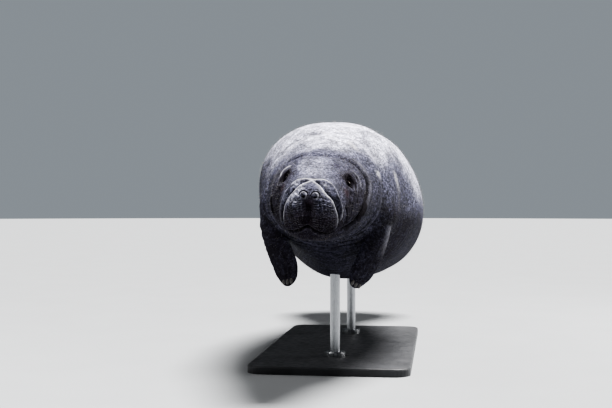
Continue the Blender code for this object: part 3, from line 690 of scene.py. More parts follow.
def bodyMesh():
    columns = mesh["frontColumns"]
    half = columns // 2
    faceRings = np.arange(body["snoutRound"] + 0.002, mesh["faceEnd"], mesh["faceStep"])
    neckRings = np.arange(mesh["faceEnd"], mesh["neckEnd"], mesh["neckStep"])
    frontRings = np.concatenate([snoutRings(mesh["snoutRings"], 0.03), faceRings, neckRings])
    tailStart = body["length"] - body["tailRound"]
    turn = np.linspace(0.0, pi / 2 - 0.03, mesh["tailRings"])
    tailRings = tailStart + body["tailRound"] * np.sin(turn) ** (2 / body["tailPower"])
    rearRings = np.concatenate([np.arange(mesh["neckEnd"] + 0.006, tailStart, mesh["bodyStep"]), tailRings])
    start = len(frontRings) * columns
    total = start + len(rearRings) * half
    points, ring, way, faces = [], [], [], []
    for first, rings, count in ((0, frontRings, columns), (start, rearRings, half)):
        points.append(surface(rings[:, None], angles(count)[None, :]).reshape(-1, 3))
        ring.append(np.repeat(rings, count))
        way.append(np.tile(angles(count), len(rings)))
        faces += ringFaces(first, len(rings), count)
    # the seam, where two columns in front meet one behind
    last = start - columns
    for c, d in neighbours(half):
        a, b, e = last + 2 * c, last + 2 * c + 1, last + (2 * c + 2) % columns
        faces += [(a, b, start + c), (b, start + d, start + c), (b, e, start + d)]
    ends = np.array([0.0, body["length"]])
    faces += [(total, d, c) for c, d in neighbours(columns)]
    faces += [(total + 1, total - half + c, total - half + d) for c, d in neighbours(half)]
    points = np.concatenate([*points, surface(ends, 0 * ends)])
    return points, np.concatenate([*ring, ends]), np.concatenate([*way, 0 * ends]), faces


def addObject(name, data):
    made = bpy.data.objects.new(name, data)
    bpy.context.scene.collection.objects.link(made)
    return made


# Numbers out of a collection of a mesh, as rows where they come in twos or threes
def fetch(items, name, width=1, kind=float):
    flat = np.empty(len(items) * width, kind)
    items.foreach_get(name, flat)
    return flat.reshape(-1, width) if width > 1 else flat


def coordsOf(data):
    return fetch(data.vertices, "co", 3)


def setCoords(data, points):
    data.vertices.foreach_set("co", np.asarray(points, float).ravel())
    data.update()


def setAttribute(data, name, values):
    kind = "FLOAT_VECTOR" if np.ndim(values) == 2 else "FLOAT"
    made = data.attributes.new(name, kind, "POINT")
    made.data.foreach_set("vector" if kind == "FLOAT_VECTOR" else "value", np.asarray(values, float).ravel())


def dropAttributes(data, *names):
    for name in names:
        if name in data.attributes:
            data.attributes.remove(data.attributes[name])


def meshOf(made, name):
    data = bpy.data.meshes.new(name)
    made.to_mesh(data)
    made.free()
    return data


def trianglesOf(data):
    return sum(len(p.vertices) - 2 for p in data.polygons)


def treeOf(points, chosen):
    tree = KDTree(len(chosen))
    for i in chosen:
        tree.insert(points[i], int(i))
    tree.balance()
    return tree


# Splits the edges whose ends both lie where the test says
def refine(data, test):
    inside = test(coordsOf(data))
    made = bmesh.new()
    made.from_mesh(data)
    made.verts.ensure_lookup_table()
    edges = [e for e in made.edges if inside[e.verts[0].index] and inside[e.verts[1].index]]
    bmesh.ops.subdivide_edges(made, edges=edges, cuts=1, use_grid_fill=True)
    made.to_mesh(data)
    made.free()


def farFromAny(points, spots):
    return np.min([distanceTo(points, spot) for spot in spots], axis=0)


def onMuzzle(points):
    x, y, z = points.T
    return (y < 0.075) & (z < 0.006) & (np.abs(x) < 0.098) & (z > -0.098)


# Where the mesh is made finer, then finer again
def fineFace(points):
    holes = (farFromAny(points, eyeSpots) < 0.034) | (farFromAny(points, nostrilSpots) < 0.021)
    return holes | onMuzzle(points)


def finestFace(points):
    holes = (farFromAny(points, eyeSpots) < 0.019) | (farFromAny(points, nostrilSpots) < 0.016)
    return holes | (farFrom(points, curves["mouth"], 0.01) < 0.006)


points, ring, way, faces = bodyMesh()
bodyData = bpy.data.meshes.new("body")
bodyData.from_pydata(points.tolist(), [], faces)
carried = {"ring": ring, "wayCos": np.cos(way), "waySin": np.sin(way)}
for name, values in carried.items():
    setAttribute(bodyData, name, values)
nostrilSpots = [onFace(side * face["nostril"][0], face["nostril"][1]) for side in (-1, 1)]
eyeSpots = [place["spot"] for place in eyePlaces.values()]
refine(bodyData, fineFace)
refine(bodyData, finestFace)
points = coordsOf(bodyData)
ring, wayCos, waySin = (fetch(bodyData.attributes[name].data, "value") for name in carried)
way = np.arctan2(waySin, wayCos)
normals = fetch(bodyData.vertex_normals, "vector", 3)
high, crease, shine, push = fineHeight(points, ring, way)
sculpted = points + normals * (softHeight(points, ring, way) + high)[:, None]
sculpted[:, 1] -= push
setCoords(bodyData, pose(sculpted))
outwards = float(np.mean(normals[:, 0] * np.sign(points[:, 0]))) > 0
print("body sculpted", len(points), "points, normals out", outwards)

# Flippers: middle line from inside the shoulder to the tip, and the way across
flippers = {
    "left": {
        "side": 1,
        "wide": 1.0,
        # how much painted highlight runs along the outer edge, and how much painted shade lies over the
        # flipper away from its root
        "highlightEdge": 1,
        "dusk": 0.55,
        "across": (0.6, 0.8, 0.0),
        "line": (
            (0.17, 0.49, 0.04), (0.198, 0.49, -0.03), (0.196, 0.488, -0.086), (0.188, 0.484, -0.132),
            (0.175, 0.48, -0.178), (0.156, 0.476, -0.224), (0.138, 0.473, -0.263), (0.121, 0.47, -0.302),
        ),
    },
    "right": {
        "side": -1,
        "wide": 1.09,
        # how much painted highlight runs along the outer edge, and how much painted shade lies over the
        # flipper away from its root
        "highlightEdge": 0,
        "dusk": 0.75,
        "across": (-0.77, 0.64, 0.0),
        "line": (
            (-0.17, 0.49, 0.04), (-0.196, 0.49, -0.03), (-0.198, 0.49, -0.086), (-0.185, 0.49, -0.138),
            (-0.162, 0.488, -0.19), (-0.142, 0.484, -0.232), (-0.129, 0.48, -0.272), (-0.124, 0.476, -0.313),
        ),
    },
}
flipperForm = {
    "shares": (0, 0.3, 0.5, 0.72, 0.88, 1.0),
    "width": (0.058, 0.058, 0.06, 0.064, 0.062, 0.056),
    "depth": (0.046, 0.04, 0.032, 0.022, 0.016, 0.012),
    "round": 0.24,
    "power": 2.1,
    "start": 0.1,
    "rings": 40,
    "tipRings": 22,
    "columns": 56,
    "digits": 5,
    "digitHeight": 0.0012,
    # creases where the limb bends, and folds at its root: share of the length, depth, reach
    "creases": (
        (0.34, -0.0024, 0.012), (0.385, -0.002, 0.01), (0.43, -0.0028, 0.012), (0.475, -0.0018, 0.01),
        (0.53, -0.0022, 0.011), (0.6, -0.0014, 0.009), (0.66, -0.0012, 0.008), (0.74, -0.001, 0.008),
    ),
}


def flipperFrame(shape, share):
    line = np.array(shape["line"])
    keys = lengthsAlong(line)
    keys = keys / keys[-1]

    def placeAt(at):
        return np.stack([through(keys, line[:, k], at) for k in range(3)], axis=-1)

    forward = unit(placeAt(share + 0.004) - placeAt(share - 0.004))
    across = np.array(shape["across"])
    across = unit(across - (forward @ across)[..., None] * forward)
    return placeAt(share), forward, across, np.cross(forward, across)


def makeFlipper(name, shape):
    form = flipperForm
    first = 1 - form["round"]
    turn = np.linspace(0, 1, form["tipRings"] + 2)[1:-1]
    tipShares = first + form["round"] * np.sin(turn * pi / 2)
    shares = np.concatenate([np.linspace(form["start"], first, form["rings"]), tipShares])
    place, forward, across, over = flipperFrame(shape, shares)
    closed = np.clip((shares - first) / form["round"], 0, 1)
    closed = (1 - closed ** form["power"]) ** (1 / form["power"])
    width = through(form["shares"], form["width"], shares) * closed
    width = width * (1 + (shape["wide"] - 1) * smooth(0.4, 0.7, shares))
    depth = through(form["shares"], form["depth"], shares) * closed**0.7
    turn = angles(form["columns"])
    flat = np.cos(turn)[None, :, None] * (width[:, None] * across)[:, None]
    raised = np.sin(turn)[None, :, None] * (depth[:, None] * over)[:, None]
    grid = place[:, None] + flat + raised
    normal = normalsOf(grid)
    normal = normal * np.sign(np.sum(normal * (grid - place[:, None]), axis=-1, keepdims=True))
    share, sideways = np.broadcast_arrays(shares[:, None], np.cos(turn)[None, :])
    # finger bones under the hide, then the creases, with painted shade in them
    digits = smooth(0.5, 0.8, share) * falling(0.95, 1.0, share) * falling(0.8, 1.0, np.abs(sideways))
    height = form["digitHeight"] * digits * np.cos(sideways * pi * form["digits"] * 0.9)
    creases = 0 * height
    for at, depthOf, reach in form["creases"]:
        cut = bell((share - at - 0.022 * wobble(grid, 0.11, int(at * 1000)), reach))
        height += depthOf * cut
        creases = np.maximum(creases, min(1.0, -depthOf * 120) * cut)
    height += 0.0009 * wobble(grid, 0.03, 31)
    grid = grid + normal * height[..., None]
    rings, columns = height.shape
    last, total = (rings - 1) * columns, rings * columns
    faces = ringFaces(0, rings, columns)
    for c, d in neighbours(columns):
        faces += [(total, d, c), (total + 1, last + c, last + d)]
    tip = flipperFrame(shape, np.array([1.0]))[0]
    data = bpy.data.meshes.new(name)
    data.from_pydata(pose(np.concatenate([grid.reshape(-1, 3), place[:1], tip])).tolist(), [], faces)
    made = bmesh.new()
    made.from_mesh(data)
    bmesh.ops.recalc_face_normals(made, faces=made.faces)
    made.to_mesh(data)
    made.free()
    shareAt = np.concatenate([share.ravel(), [shares[0], 1.0]])
    sideAt = np.concatenate([sideways.ravel(), [0.0, 0.0]])
    return addObject(name, data), shareAt, sideAt, np.concatenate([creases.ravel(), [0, 0]])


# Marks of the skin, by place on the body before the pose. First the pink patches.
def pinkAt(points):
    x, y, z = points.T
    near = 0 * x
    for side in (-1, 1):
        near += 0.7 * bell((distanceTo(points, onFace(side * 0.1148, 0.047)), 0.014))
    near += (y < 0.1) * 0.35 * bell((x, 0.016), (z + 0.006, 0.024))
    near += (y < 0.1) * 0.3 * bell((x, 0.085), (z + 0.055, 0.03))
    return np.clip(near, 0, 1)


# Painted shade round the eyes, in the hollow of the upper lip and low on the muzzle
def paintedShadeAt(points):
    x, y, z = points.T
    dusk = 0 * x

    def darken(amount):
        np.maximum(dusk, amount, out=dusk)

    for side, cheekName, innerDark in ((-1, "cheekRight", 0.1), (1, "cheekLeft", 0.75)):
        darken(socketAt(points, side, 0.031, 0.0165))
        darken(0.42 * socketAt(points, side, 0.044, 0.03))
        cheekSide = smooth(0.092, 0.108, side * x) * smooth(0.08, 0.12, y) * falling(0.24, 0.29, y)
        darken(0.7 * cheekSide * falling(0.042, 0.082, z))
        pit = faceCurve(((0.1295, 0.049), (0.1235, 0.036), (0.126, 0.012)), 20, side)
        darken(0.8 * bell((farFrom(points, pit, 0.05), 0.011)))
        darken(0.8 * bell((distanceTo(points, [side * 0.129, 0.169, 0.05]), 0.013)))
        darken(innerDark * bell((distanceTo(points, [side * 0.062, 0.2035, 0.136]), 0.017)))
        cheek = farFrom(points, curves[cheekName], 0.06)
        darken((0.45 - 0.25 * smooth(0.1, 0.14, z)) * bell((cheek, 0.026)))
    darken((y < 0.1) * 0.85 * bell((x, 0.022), (z + 0.012, 0.018)))
    darken(0.74 * falling(-0.054, -0.02, z) * falling(0.14, 0.26, y))
    return dusk


# Pale healed scars: x and y of the middle, length, slant and width
scars = [
    (0.088, 0.437, 0.058, -0.5, 0.011), (0.015, 0.449, 0.05, -0.1, 0.006), (0.19, 0.433, 0.045, 1.5, 0.006),
    (0.253, 0.592, 0.04, 1.5, 0.008), (0.045, 0.56, 0.06, 0.5, 0.009), (-0.02, 0.52, 0.05, -0.4, 0.006),
    (0.08, 0.7, 0.09, 0.9, 0.008), (0.235, 0.8, 0.08, 1.3, 0.008), (-0.15, 0.9, 0.11, -0.7, 0.01),
    (0.12, 1.25, 0.16, 0.3, 0.009), (-0.08, 1.5, 0.13, 0.6, 0.008), (0.06, 1.8, 0.1, -0.5, 0.01),
    (-0.19, 1.35, 0.08, 1.0, 0.012), (0.1, 2.45, 0.12, 0.4, 0.01), (-0.14, 2.56, 0.09, -0.9, 0.009),
]


def scarAt(points):
    x, y, z = points.T
    amount = 0 * x
    for sx, sy, long, slant, wide in scars:
        u = (x - sx) * cos(slant) + (y - sy) * sin(slant)
        w = -(x - sx) * sin(slant) + (y - sy) * cos(slant)
        w = w + 0.006 * np.sin(u * 60)
        amount = np.maximum(amount, np.exp(-((u / (long / 2)) ** 4) - (w / wide) ** 2) * (z > -0.02))
    return amount


bodyThing = addObject("skin", bodyData)
# What each point of body and flippers hands on to the joined skin. The root is its place on a flat map.
sources = [{
    "at": pose(sculpted), "crease": crease, "shine": shine,
    "pink": pinkAt(points), "scar": scarAt(points), "dusk": paintedShadeAt(points),
    "root": np.stack([way / (2 * pi) + 0.5, ring / body["length"], 0 * ring], axis=1),
}]
limbs = []
plain = [bpy.data.materials.new("part%d" % i) for i in range(2)]
for finish in plain:
    bodyData.materials.append(finish)
for number, (name, shape) in enumerate(flippers.items()):
    made, share, sideways, limbCrease = makeFlipper("flipper_" + name, shape)
    for finish in plain:
        made.data.materials.append(finish)
    made.data.polygons.foreach_set("material_index", np.ones(len(made.data.polygons), int))
    limbs.append(made)
    # a painted highlight along the outer edge from the root to the middle, and painted shade over the flipper
    # away from its root
    edge = shape["highlightEdge"] * smooth(-0.1, 0.55, sideways)
    sources.append({
        "at": coordsOf(made.data), "crease": limbCrease, "pink": 0 * share, "scar": 0 * share,
        "shine": 0.3 * edge * smooth(0.05, 0.14, share) * falling(0.42, 0.66, share),
        "dusk": shape["dusk"] * smooth(0.2, 0.45, share),
        "root": np.stack([0.5 + 0.1 * sideways, 1.1 + 0.5 * number + 0.3 * share, 0 * share], axis=1),
    })


def union(target, others):
    for other in others:
        change = target.modifiers.new("join", "BOOLEAN")
        change.operation = "UNION"
        change.solver = "MANIFOLD"
        change.object = other
    graph = bpy.context.evaluated_depsgraph_get()
    target.data = bpy.data.meshes.new_from_object(target.evaluated_get(graph))
    target.modifiers.clear()
    for other in others:
        bpy.data.objects.remove(other)


union(bodyThing, limbs)
skinData = bodyThing.data
print("flippers joined,", len(skinData.vertices), "points")


def averaged(values, pairs):
    total = np.zeros(values.shape)
    number = np.zeros(len(values))
    for a, b in ((0, 1), (1, 0)):
        np.add.at(total, pairs[:, a], values[pairs[:, b]])
        np.add.at(number, pairs[:, a], 1)
    return total / np.maximum(number, 1).reshape((-1,) + (1,) * (values.ndim - 1))


# Finds the line where limbs and body meet, and softens the hide along it
def softenJunction(data, reach, rounds):
    partOf = fetch(data.polygons, "material_index", kind=int)
    touched = np.zeros((len(data.vertices), 2), bool)
    for polygon in data.polygons:
        touched[list(polygon.vertices), partOf[polygon.index]] = True
    line = np.nonzero(touched.all(axis=1))[0]
    points = coordsOf(data)
    tree = treeOf(points, line)
    ends = points[line]
    box = np.all((points > ends.min(axis=0) - reach) & (points < ends.max(axis=0) + reach), axis=1)
    far = np.full(len(points), 9.0)
    for i in np.nonzero(box)[0]:
        far[i] = tree.find(points[i])[2]
    weight = (1 - smooth(0.2 * reach, reach, far))[:, None]
    pairs = fetch(data.edges, "vertices", 2, int)
    pairs = pairs[(far[pairs] < 1.5 * reach).all(axis=1)]
    for _ in range(rounds):
        points = points + 0.5 * weight * (averaged(points, pairs) - points)
    setCoords(data, points)
    return far


junction = softenJunction(skinData, 0.03, 24)
points = coordsOf(skinData)
# Places of the skin's points before the pose
bodyY = points[:, 1] - body["snoutY"]
bodyZ = points[:, 2] - body["axisHeight"]
roll = body["headRoll"] * falling(0.32, 0.85, bodyY)
headX = points[:, 0] * np.cos(roll) - bodyZ * np.sin(roll)
headZ = bodyZ * np.cos(roll) + points[:, 0] * np.sin(roll)
headPoints = np.stack([headX, bodyY, headZ], axis=1)
wide = np.abs(headX)
source = {key: np.concatenate([part[key] for part in sources]) for key in sources[0]}
tree = treeOf(source["at"], range(len(source["at"])))
nearest = [tree.find(place)[1] for place in points]
source = {key: values[nearest] for key, values in source.items()}
normals = fetch(skinData.vertex_normals, "vector", 3)
upwards = normals[:, 2]
# How sharply the skin bends: above nothing in a hollow, below it on a ridge
pairs = fetch(skinData.edges, "vertices", 2, int)
edgeSize = distanceTo(points[pairs[:, 0]], points[pairs[:, 1]])
sized, number = np.zeros((2, len(points)))
for k in (0, 1):
    np.add.at(sized, pairs[:, k], edgeSize)
    np.add.at(number, pairs[:, k], 1)
bend = np.sum((averaged(points, pairs) - points) * normals, axis=1) / np.maximum(sized / number, 1e-5)
for _ in range(2):
    bend = 0.5 * bend + 0.5 * averaged(bend, pairs)
calm = smooth(0.095, 0.135, headZ) * smooth(0.2, 0.25, bodyY) * falling(0.38, 0.44, bodyY) * (headX < 0.01)
calm = np.maximum(calm, smooth(0.038, 0.056, headZ) * falling(0.06, 0.1, bodyY))
# painted shade where the flippers meet the body and in every hollow, less on the nape and the top of the
# muzzle
crease = np.maximum(source["crease"], 0.55 * bell((junction, 0.01)))
crease = np.maximum(crease, (0.75 - 0.6 * calm) * smooth(0.06, 0.3, bend))
# the low flanks and the armpits are in the dark
lowFlank = smooth(0.42, 0.6, bodyY) * falling(-0.3, 0.1, upwards) * smooth(0.12, 0.22, wide)
lowFlank = lowFlank * (1 - 0.75 * smooth(0.78, 1.0, bodyY))
armpit = np.exp(-(((bodyY - 0.525) / 0.095) ** 4) - ((headZ + 0.022) / 0.04) ** 2) * smooth(0.14, 0.2, wide)
dusk = np.maximum(source["dusk"], np.maximum(0.6 * lowFlank, 0.72 * armpit))
# painted highlights: along the lines of the face, and a little on every ridge, less where painted shade lies
ridges = (0.18 - 0.18 * dusk * smooth(0.04, 0.09, bodyY)) * smooth(0.02, 0.16, -bend)
polish = np.maximum(ridges, source["shine"])
# How pale the hide is painted, standing in for light from above: palest on the back as if lit, greyer on the
# head, dark beneath as painted shade
sideways = smooth(0.04, 0.1, wide)
headShade = 0.48 - 0.24 * sideways + (0.28 + 0.14 * sideways) * smooth(0.3, 0.36, bodyY)
headShade = headShade + (0.24 + 0.1 * sideways) * smooth(0.36, 0.5, bodyY)
# single places painted darker or paler to the same end: shade on the sides of the neck; light on the pads,
# the brow, the side of the muzzle, the temple, the rear flank and the top of the shoulder
leftNeck = smooth(0.05, 0.14, headX) * smooth(0.3, 0.36, bodyY) * falling(0.58, 0.84, bodyY)
rightNeck = smooth(0.06, 0.14, -headX) * smooth(0.3, 0.4, bodyY) * falling(0.7, 0.9, bodyY)
headShade = headShade - 0.2 * leftNeck - 0.06 * rightNeck
snout = falling(0.03, 0.09, bodyY)
padTop = snout * smooth(-0.03, 0.004, headZ) * smooth(0.01, 0.028, wide)
rightPad = snout * smooth(0.01, 0.028, -headX) * smooth(-0.036, -0.014, headZ)
rightPad = rightPad * (0.1 + 0.2 * bell((headZ - 0.006, 0.02)))
browTop = bell((headX + 0.01, 0.05)) * smooth(0.05, 0.09, bodyY) * falling(0.2, 0.27, bodyY)
muzzleSide = bell((headX + 0.082, 0.022), (headZ - 0.03, 0.034)) * falling(0.1, 0.15, bodyY)
templeTop = smooth(0.03, 0.065, -headX) * smooth(0.085, 0.115, headZ)
templeTop = templeTop * smooth(0.12, 0.16, bodyY) * falling(0.31, 0.35, bodyY)
rearFlank = smooth(0.66, 0.95, bodyY) * bell((upwards - 0.18, 0.3)) * falling(1.9, 2.2, bodyY)
shoulderTop = smooth(0.12, 0.18, headX) * smooth(0.4, 0.5, bodyY) * smooth(0.36, 0.62, upwards)
tone = smooth(-0.55, 1.0, upwards) * headShade
tone = tone + 0.17 * padTop + rightPad + 0.12 * browTop + 0.13 * muzzleSide + 0.16 * templeTop
tone = np.clip(tone + 0.26 * rearFlank + 0.16 * shoulderTop, 0, 1)
# towards the tail the painted light and shade are weaker: the back is greyer and the belly less dark
towardsTail = smooth(1.25, 2.0, bodyY)
tone = tone * (1 - 0.34 * towardsTail) + 0.16 * towardsTail
dropAttributes(skinData, *carried)
marks = {
    "crease": np.clip(crease, 0, 1), "pink": source["pink"], "scar": source["scar"], "dusk": dusk,
    "polish": np.clip(polish, 0, 1), "tone": tone,
}
for name, values in marks.items():
    setAttribute(skinData, name, values)
skinData.shade_smooth()
print("marks laid on the skin")


# Shader helpers
def newMaterial(name):
    made = bpy.data.materials.new(name)
    made.use_nodes = True
    return made, made.node_tree, made.node_tree.nodes["Principled BSDF"]


# Links or sets the inputs of a node
def feed(tree, node, inputs):
    for label, value in inputs.items():
        if hasattr(value, "links"):
            tree.links.new(value, node.inputs[label])
        else:
            node.inputs[label].default_value = value


def addNode(tree, kind, inputs=(), **settings):
    made = tree.nodes.new(kind)
    for key, value in settings.items():
        setattr(made, key, value)
    feed(tree, made, dict(inputs))
    return made


def noise(tree, vector, scale, detail=4.0, roughness=0.55, distortion=0.0):
    inputs = {"Vector": vector, "Scale": scale, "Detail": detail, "Roughness": roughness}
    return addNode(tree, "ShaderNodeTexNoise", {**inputs, "Distortion": distortion}).outputs["Fac"]


def cells(tree, vector, scale):
    inputs = {"Vector": vector, "Scale": scale}
    return addNode(tree, "ShaderNodeTexVoronoi", inputs, feature="DISTANCE_TO_EDGE").outputs["Distance"]


def mathNode(tree, operation, *values, clamp=False):
    inputs = dict(enumerate(values))
    return addNode(tree, "ShaderNodeMath", inputs, operation=operation, use_clamp=clamp).outputs[0]


def times(tree, a, b):
    return mathNode(tree, "MULTIPLY", a, b)


def spread(tree, value, low, high, toLow=0.0, toHigh=1.0):
    inputs = {"Value": value, "From Min": low, "From Max": high, "To Min": toLow, "To Max": toHigh}
    made = addNode(tree, "ShaderNodeMapRange", inputs, clamp=True, interpolation_type="SMOOTHSTEP")
    return made.outputs["Result"]


def mixColour(tree, amount, a, b):
    a, b = (colour if hasattr(colour, "links") else (*colour, 1.0) for colour in (a, b))
    made = addNode(tree, "ShaderNodeMix", data_type="RGBA", blend_type="MIX", clamp_factor=True)
    feed(tree, made, {0: amount, 6: a, 7: b})
    return made.outputs[2]


def brighter(tree, colour, value):
    inputs = {"Value": value, "Color": colour}
    return addNode(tree, "ShaderNodeHueSaturation", inputs).outputs["Color"]


def attribute(tree, name):
    return addNode(tree, "ShaderNodeAttribute", attribute_name=name).outputs["Fac"]


def objectPlace(tree):
    return addNode(tree, "ShaderNodeTexCoord").outputs["Object"]


def warped(tree, vector, scale, amount):
    drift = addNode(tree, "ShaderNodeTexNoise", {"Vector": vector, "Scale": scale, "Detail": 2.0})
    inputs = {0: drift.outputs["Color"], 1: (amount, amount, amount), 2: vector}
    return addNode(tree, "ShaderNodeVectorMath", inputs, operation="MULTIPLY_ADD").outputs[0]


def bumped(tree, height, distance, strength, under=None):
    inputs = {"Height": height, "Distance": distance, "Strength": strength}
    if under is not None:
        inputs["Normal"] = under
    return addNode(tree, "ShaderNodeBump", inputs).outputs["Normal"]


# Colours of the hide: the same grey hide in painted shade beneath, half lit on the flanks and in painted
# light on the back; painted shade for creases and for the hollows round the eyes and below; random dark
# blotches; pink patches; pale scars; a painted highlight for rims and ridges; and the range of roughness
hide = {
    "belly": (0.044, 0.043, 0.062),
    "flank": (0.084, 0.085, 0.124),
    "back": (0.475, 0.478, 0.57),
    "crease": (0.0068, 0.005, 0.0075),
    "dusk": (0.0122, 0.0088, 0.0132),
    "mottleDark": (0.056, 0.055, 0.078),
    "pink": (0.14, 0.082, 0.098),
    "scar": (0.44, 0.43, 0.46),
    "highlight": (0.56, 0.555, 0.61),
    "roughness": (0.54, 0.78),
}


def skinMaterial():
    made, tree, shader = newMaterial("manateeHide")
    place = objectPlace(tree)
    drifted = warped(tree, place, 7.0, 0.05)
    big = noise(tree, drifted, 5.0, 6.0, 0.62)
    middle = noise(tree, place, 26.0, 7.0, 0.66)
    small = noise(tree, place, 95.0, 6.0, 0.68)
    tone = attribute(tree, "tone")
    dusk = attribute(tree, "dusk")
    # painted light and shade by the tone attribute: from the shaded belly colour to the half-lit flank, then
    # to the lit back
    colour = mixColour(tree, spread(tree, tone, 0.1, 0.55), hide["belly"], hide["flank"])
    # the net of fine wrinkles
    net = cells(tree, warped(tree, place, 60.0, 0.012), 95.0)
    netFine = cells(tree, warped(tree, place, 140.0, 0.006), 260.0)

    def paint(amount, name):
        nonlocal colour
        colour = mixColour(tree, amount, colour, hide[name])

    paint(spread(tree, tone, 0.45, 1.0), "back")
    # blotches in three sizes
    paint(spread(tree, big, 0.5, 0.66, 0.0, 0.6), "mottleDark")
    fleck = noise(tree, place, 160.0, 3.0, 0.6)
    for pattern, limits in (
        (middle, (0.32, 0.68, 0.5, 1.42)),
        (small, (0.36, 0.64, 0.48, 1.5)),
        (fleck, (0.38, 0.62, 0.55, 1.42)),
    ):
        colour = brighter(tree, colour, spread(tree, pattern, *limits))
    # painted shade in the net of fine wrinkles
    paint(times(tree, spread(tree, net, 0.0, 0.1, 1.0, 0.0), 0.34), "crease")
    # marks laid on the mesh, each broken up by a pattern: pink patches, painted shade, pale scars and painted
    # highlights
    for name, mark, pattern, limits in (
        ("pink", attribute(tree, "pink"), middle, (0.35, 0.6, 0.35, 0.95)),
        ("dusk", dusk, middle, (0.3, 0.66, 1.0, 0.72)),
        ("scar", attribute(tree, "scar"), small, (0.36, 0.58, 0.15, 0.85)),
        ("highlight", attribute(tree, "polish"), small, (0.34, 0.6, 0.58, 0.95)),
    ):
        paint(times(tree, mark, spread(tree, pattern, *limits)), name)
    # painted shade in the creases and hollows
    paint(spread(tree, attribute(tree, "crease"), 0.05, 0.95, 0.0, 0.94), "crease")
    # thin pale lines where the hide of the belly folds
    along = addNode(tree, "ShaderNodeSeparateXYZ", {0: drifted}).outputs["Y"]
    swing = times(tree, noise(tree, place, 3.0, 2.0, 0.5), 9.0)
    wave = mathNode(tree, "SINE", mathNode(tree, "ADD", times(tree, along, 150.0), swing), 0.0)
    folds = times(tree, spread(tree, wave, 0.8, 1.0), spread(tree, tone, 0.1, 0.02))
    folds = times(tree, folds, spread(tree, noise(tree, place, 8.0, 2.0, 0.5), 0.42, 0.6))
    paint(times(tree, folds, 0.55), "flank")
    # relief: broad puckers, the net of wrinkles, and pores
    normal = bumped(tree, noise(tree, drifted, 34.0, 5.0, 0.6), 0.006, 0.45)
    normal = bumped(tree, spread(tree, net, 0.0, 0.16), 0.0022, 0.55, normal)
    normal = bumped(tree, spread(tree, netFine, 0.0, 0.2), 0.0008, 0.5, normal)
    normal = bumped(tree, noise(tree, place, 520.0, 4.0, 0.6), 0.0006, 0.45, normal)
    rough = spread(tree, middle, 0.3, 0.7, *hide["roughness"])
    feed(tree, shader, {
        "Base Color": colour, "Normal": normal, "Specular IOR Level": 0.09,
        "Roughness": mathNode(tree, "ADD", rough, times(tree, dusk, 0.3), clamp=True),
    })
    return made


skinData.materials.clear()
skinData.materials.append(skinMaterial())
skinData.polygons.foreach_set("material_index", np.zeros(len(skinData.polygons), int))
skin = bodyThing
skin.name = "skin"
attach(skin, "root")
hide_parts("head", "neck", "torso", "tail_stock", "tail_paddle", "flipper_left", "flipper_right")
print("skin finished,", trianglesOf(skinData), "triangles")

# Eyes: the ball, with its clear front a little proud, and rings coloured by the angle from the gaze
eyeForm = {
    "segments": 56,
    "rings": 36,
    "corneaAngle": 0.5,
    "corneaRise": 0.0007,
    "pupilAngle": 0.2,
    "irisAngle": 0.46,
    "white": (0.07, 0.052, 0.046),
    "iris": (0.05, 0.028, 0.016),
    "irisLight": (0.105, 0.062, 0.036),
    "pupil": (0.004, 0.004, 0.004),
}


def eyeMaterial():
    made, tree, shader = newMaterial("wetEye")
    gaze = attribute(tree, "gaze")
    streaks = noise(tree, objectPlace(tree), 900.0, 3.0, 0.6)
    colour = mixColour(tree, spread(tree, streaks, 0.35, 0.65), eyeForm["iris"], eyeForm["irisLight"])
    edge = eyeForm["irisAngle"]
    colour = mixColour(tree, spread(tree, gaze, edge - 0.04, edge + 0.05), colour, eyeForm["white"])
    edge = eyeForm["pupilAngle"]
    colour = mixColour(tree, spread(tree, gaze, edge - 0.02, edge + 0.02, 1.0, 0.0), colour, eyeForm["pupil"])
    rough = spread(tree, streaks, 0.3, 0.7, 0.03, 0.09)
    feed(tree, shader, {"Base Color": colour, "Roughness": rough, "Coat Weight": 1.0, "Coat Roughness": 0.02})
    return made


eyeFinish = eyeMaterial()
ahead = Vector((0, 0, 1))
for name, side in (("eye_left", 1), ("eye_right", -1)):
    low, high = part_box(name)
    centre = np.array((low + high) / 2)
    size = min(high - low) / 2
    place = eyePlaces[side]
    out = unit(pose(place["spot"] + 0.01 * place["out"]) - pose(place["spot"]))
    look = unit(out + np.array([0.0, -0.35, 0.0]))
    made = bmesh.new()
    bmesh.ops.create_uvsphere(made, u_segments=eyeForm["segments"], v_segments=eyeForm["rings"], radius=size)
    gazes = [vertex.co.angle(ahead) for vertex in made.verts]
    for vertex, gaze in zip(made.verts, gazes):
        vertex.co *= 1 + eyeForm["corneaRise"] / size * float(falling(0, eyeForm["corneaAngle"], gaze)) ** 0.7
    turnTo = ahead.rotation_difference(Vector(look)).to_matrix().to_4x4()
    bmesh.ops.transform(made, matrix=Matrix.Translation(Vector(centre)) @ turnTo, verts=made.verts)
    data = meshOf(made, "eyeball_" + name[4:])
    setAttribute(data, "gaze", np.array(gazes))
    data.materials.append(eyeFinish)
    data.shade_smooth()
    ball = addObject("eyeball_" + name[4:], data)
    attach(ball, "root")
    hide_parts(name)
print("eyes set")

# Nails: three small plates near the tip of each flipper, on its outer face
nails = {
    "sideways": (-0.03, -0.008, 0.014),
    "sizes": (0.0088, 0.0042, 0.011),
    "lift": 0.0085,
    "colour": (0.056, 0.05, 0.047),
    "dirt": (0.03, 0.027, 0.026),
}


def nailMaterial():
    made, tree, shader = newMaterial("nailHorn")
    streaks = noise(tree, objectPlace(tree), 210.0, 5.0, 0.6, 0.6)
    feed(tree, shader, {
        "Base Color": mixColour(tree, spread(tree, streaks, 0.35, 0.65), nails["dirt"], nails["colour"]),
        "Roughness": spread(tree, streaks, 0.3, 0.7, 0.3, 0.5),
        "Normal": bumped(tree, streaks, 0.0005, 0.4),
    })
    return made


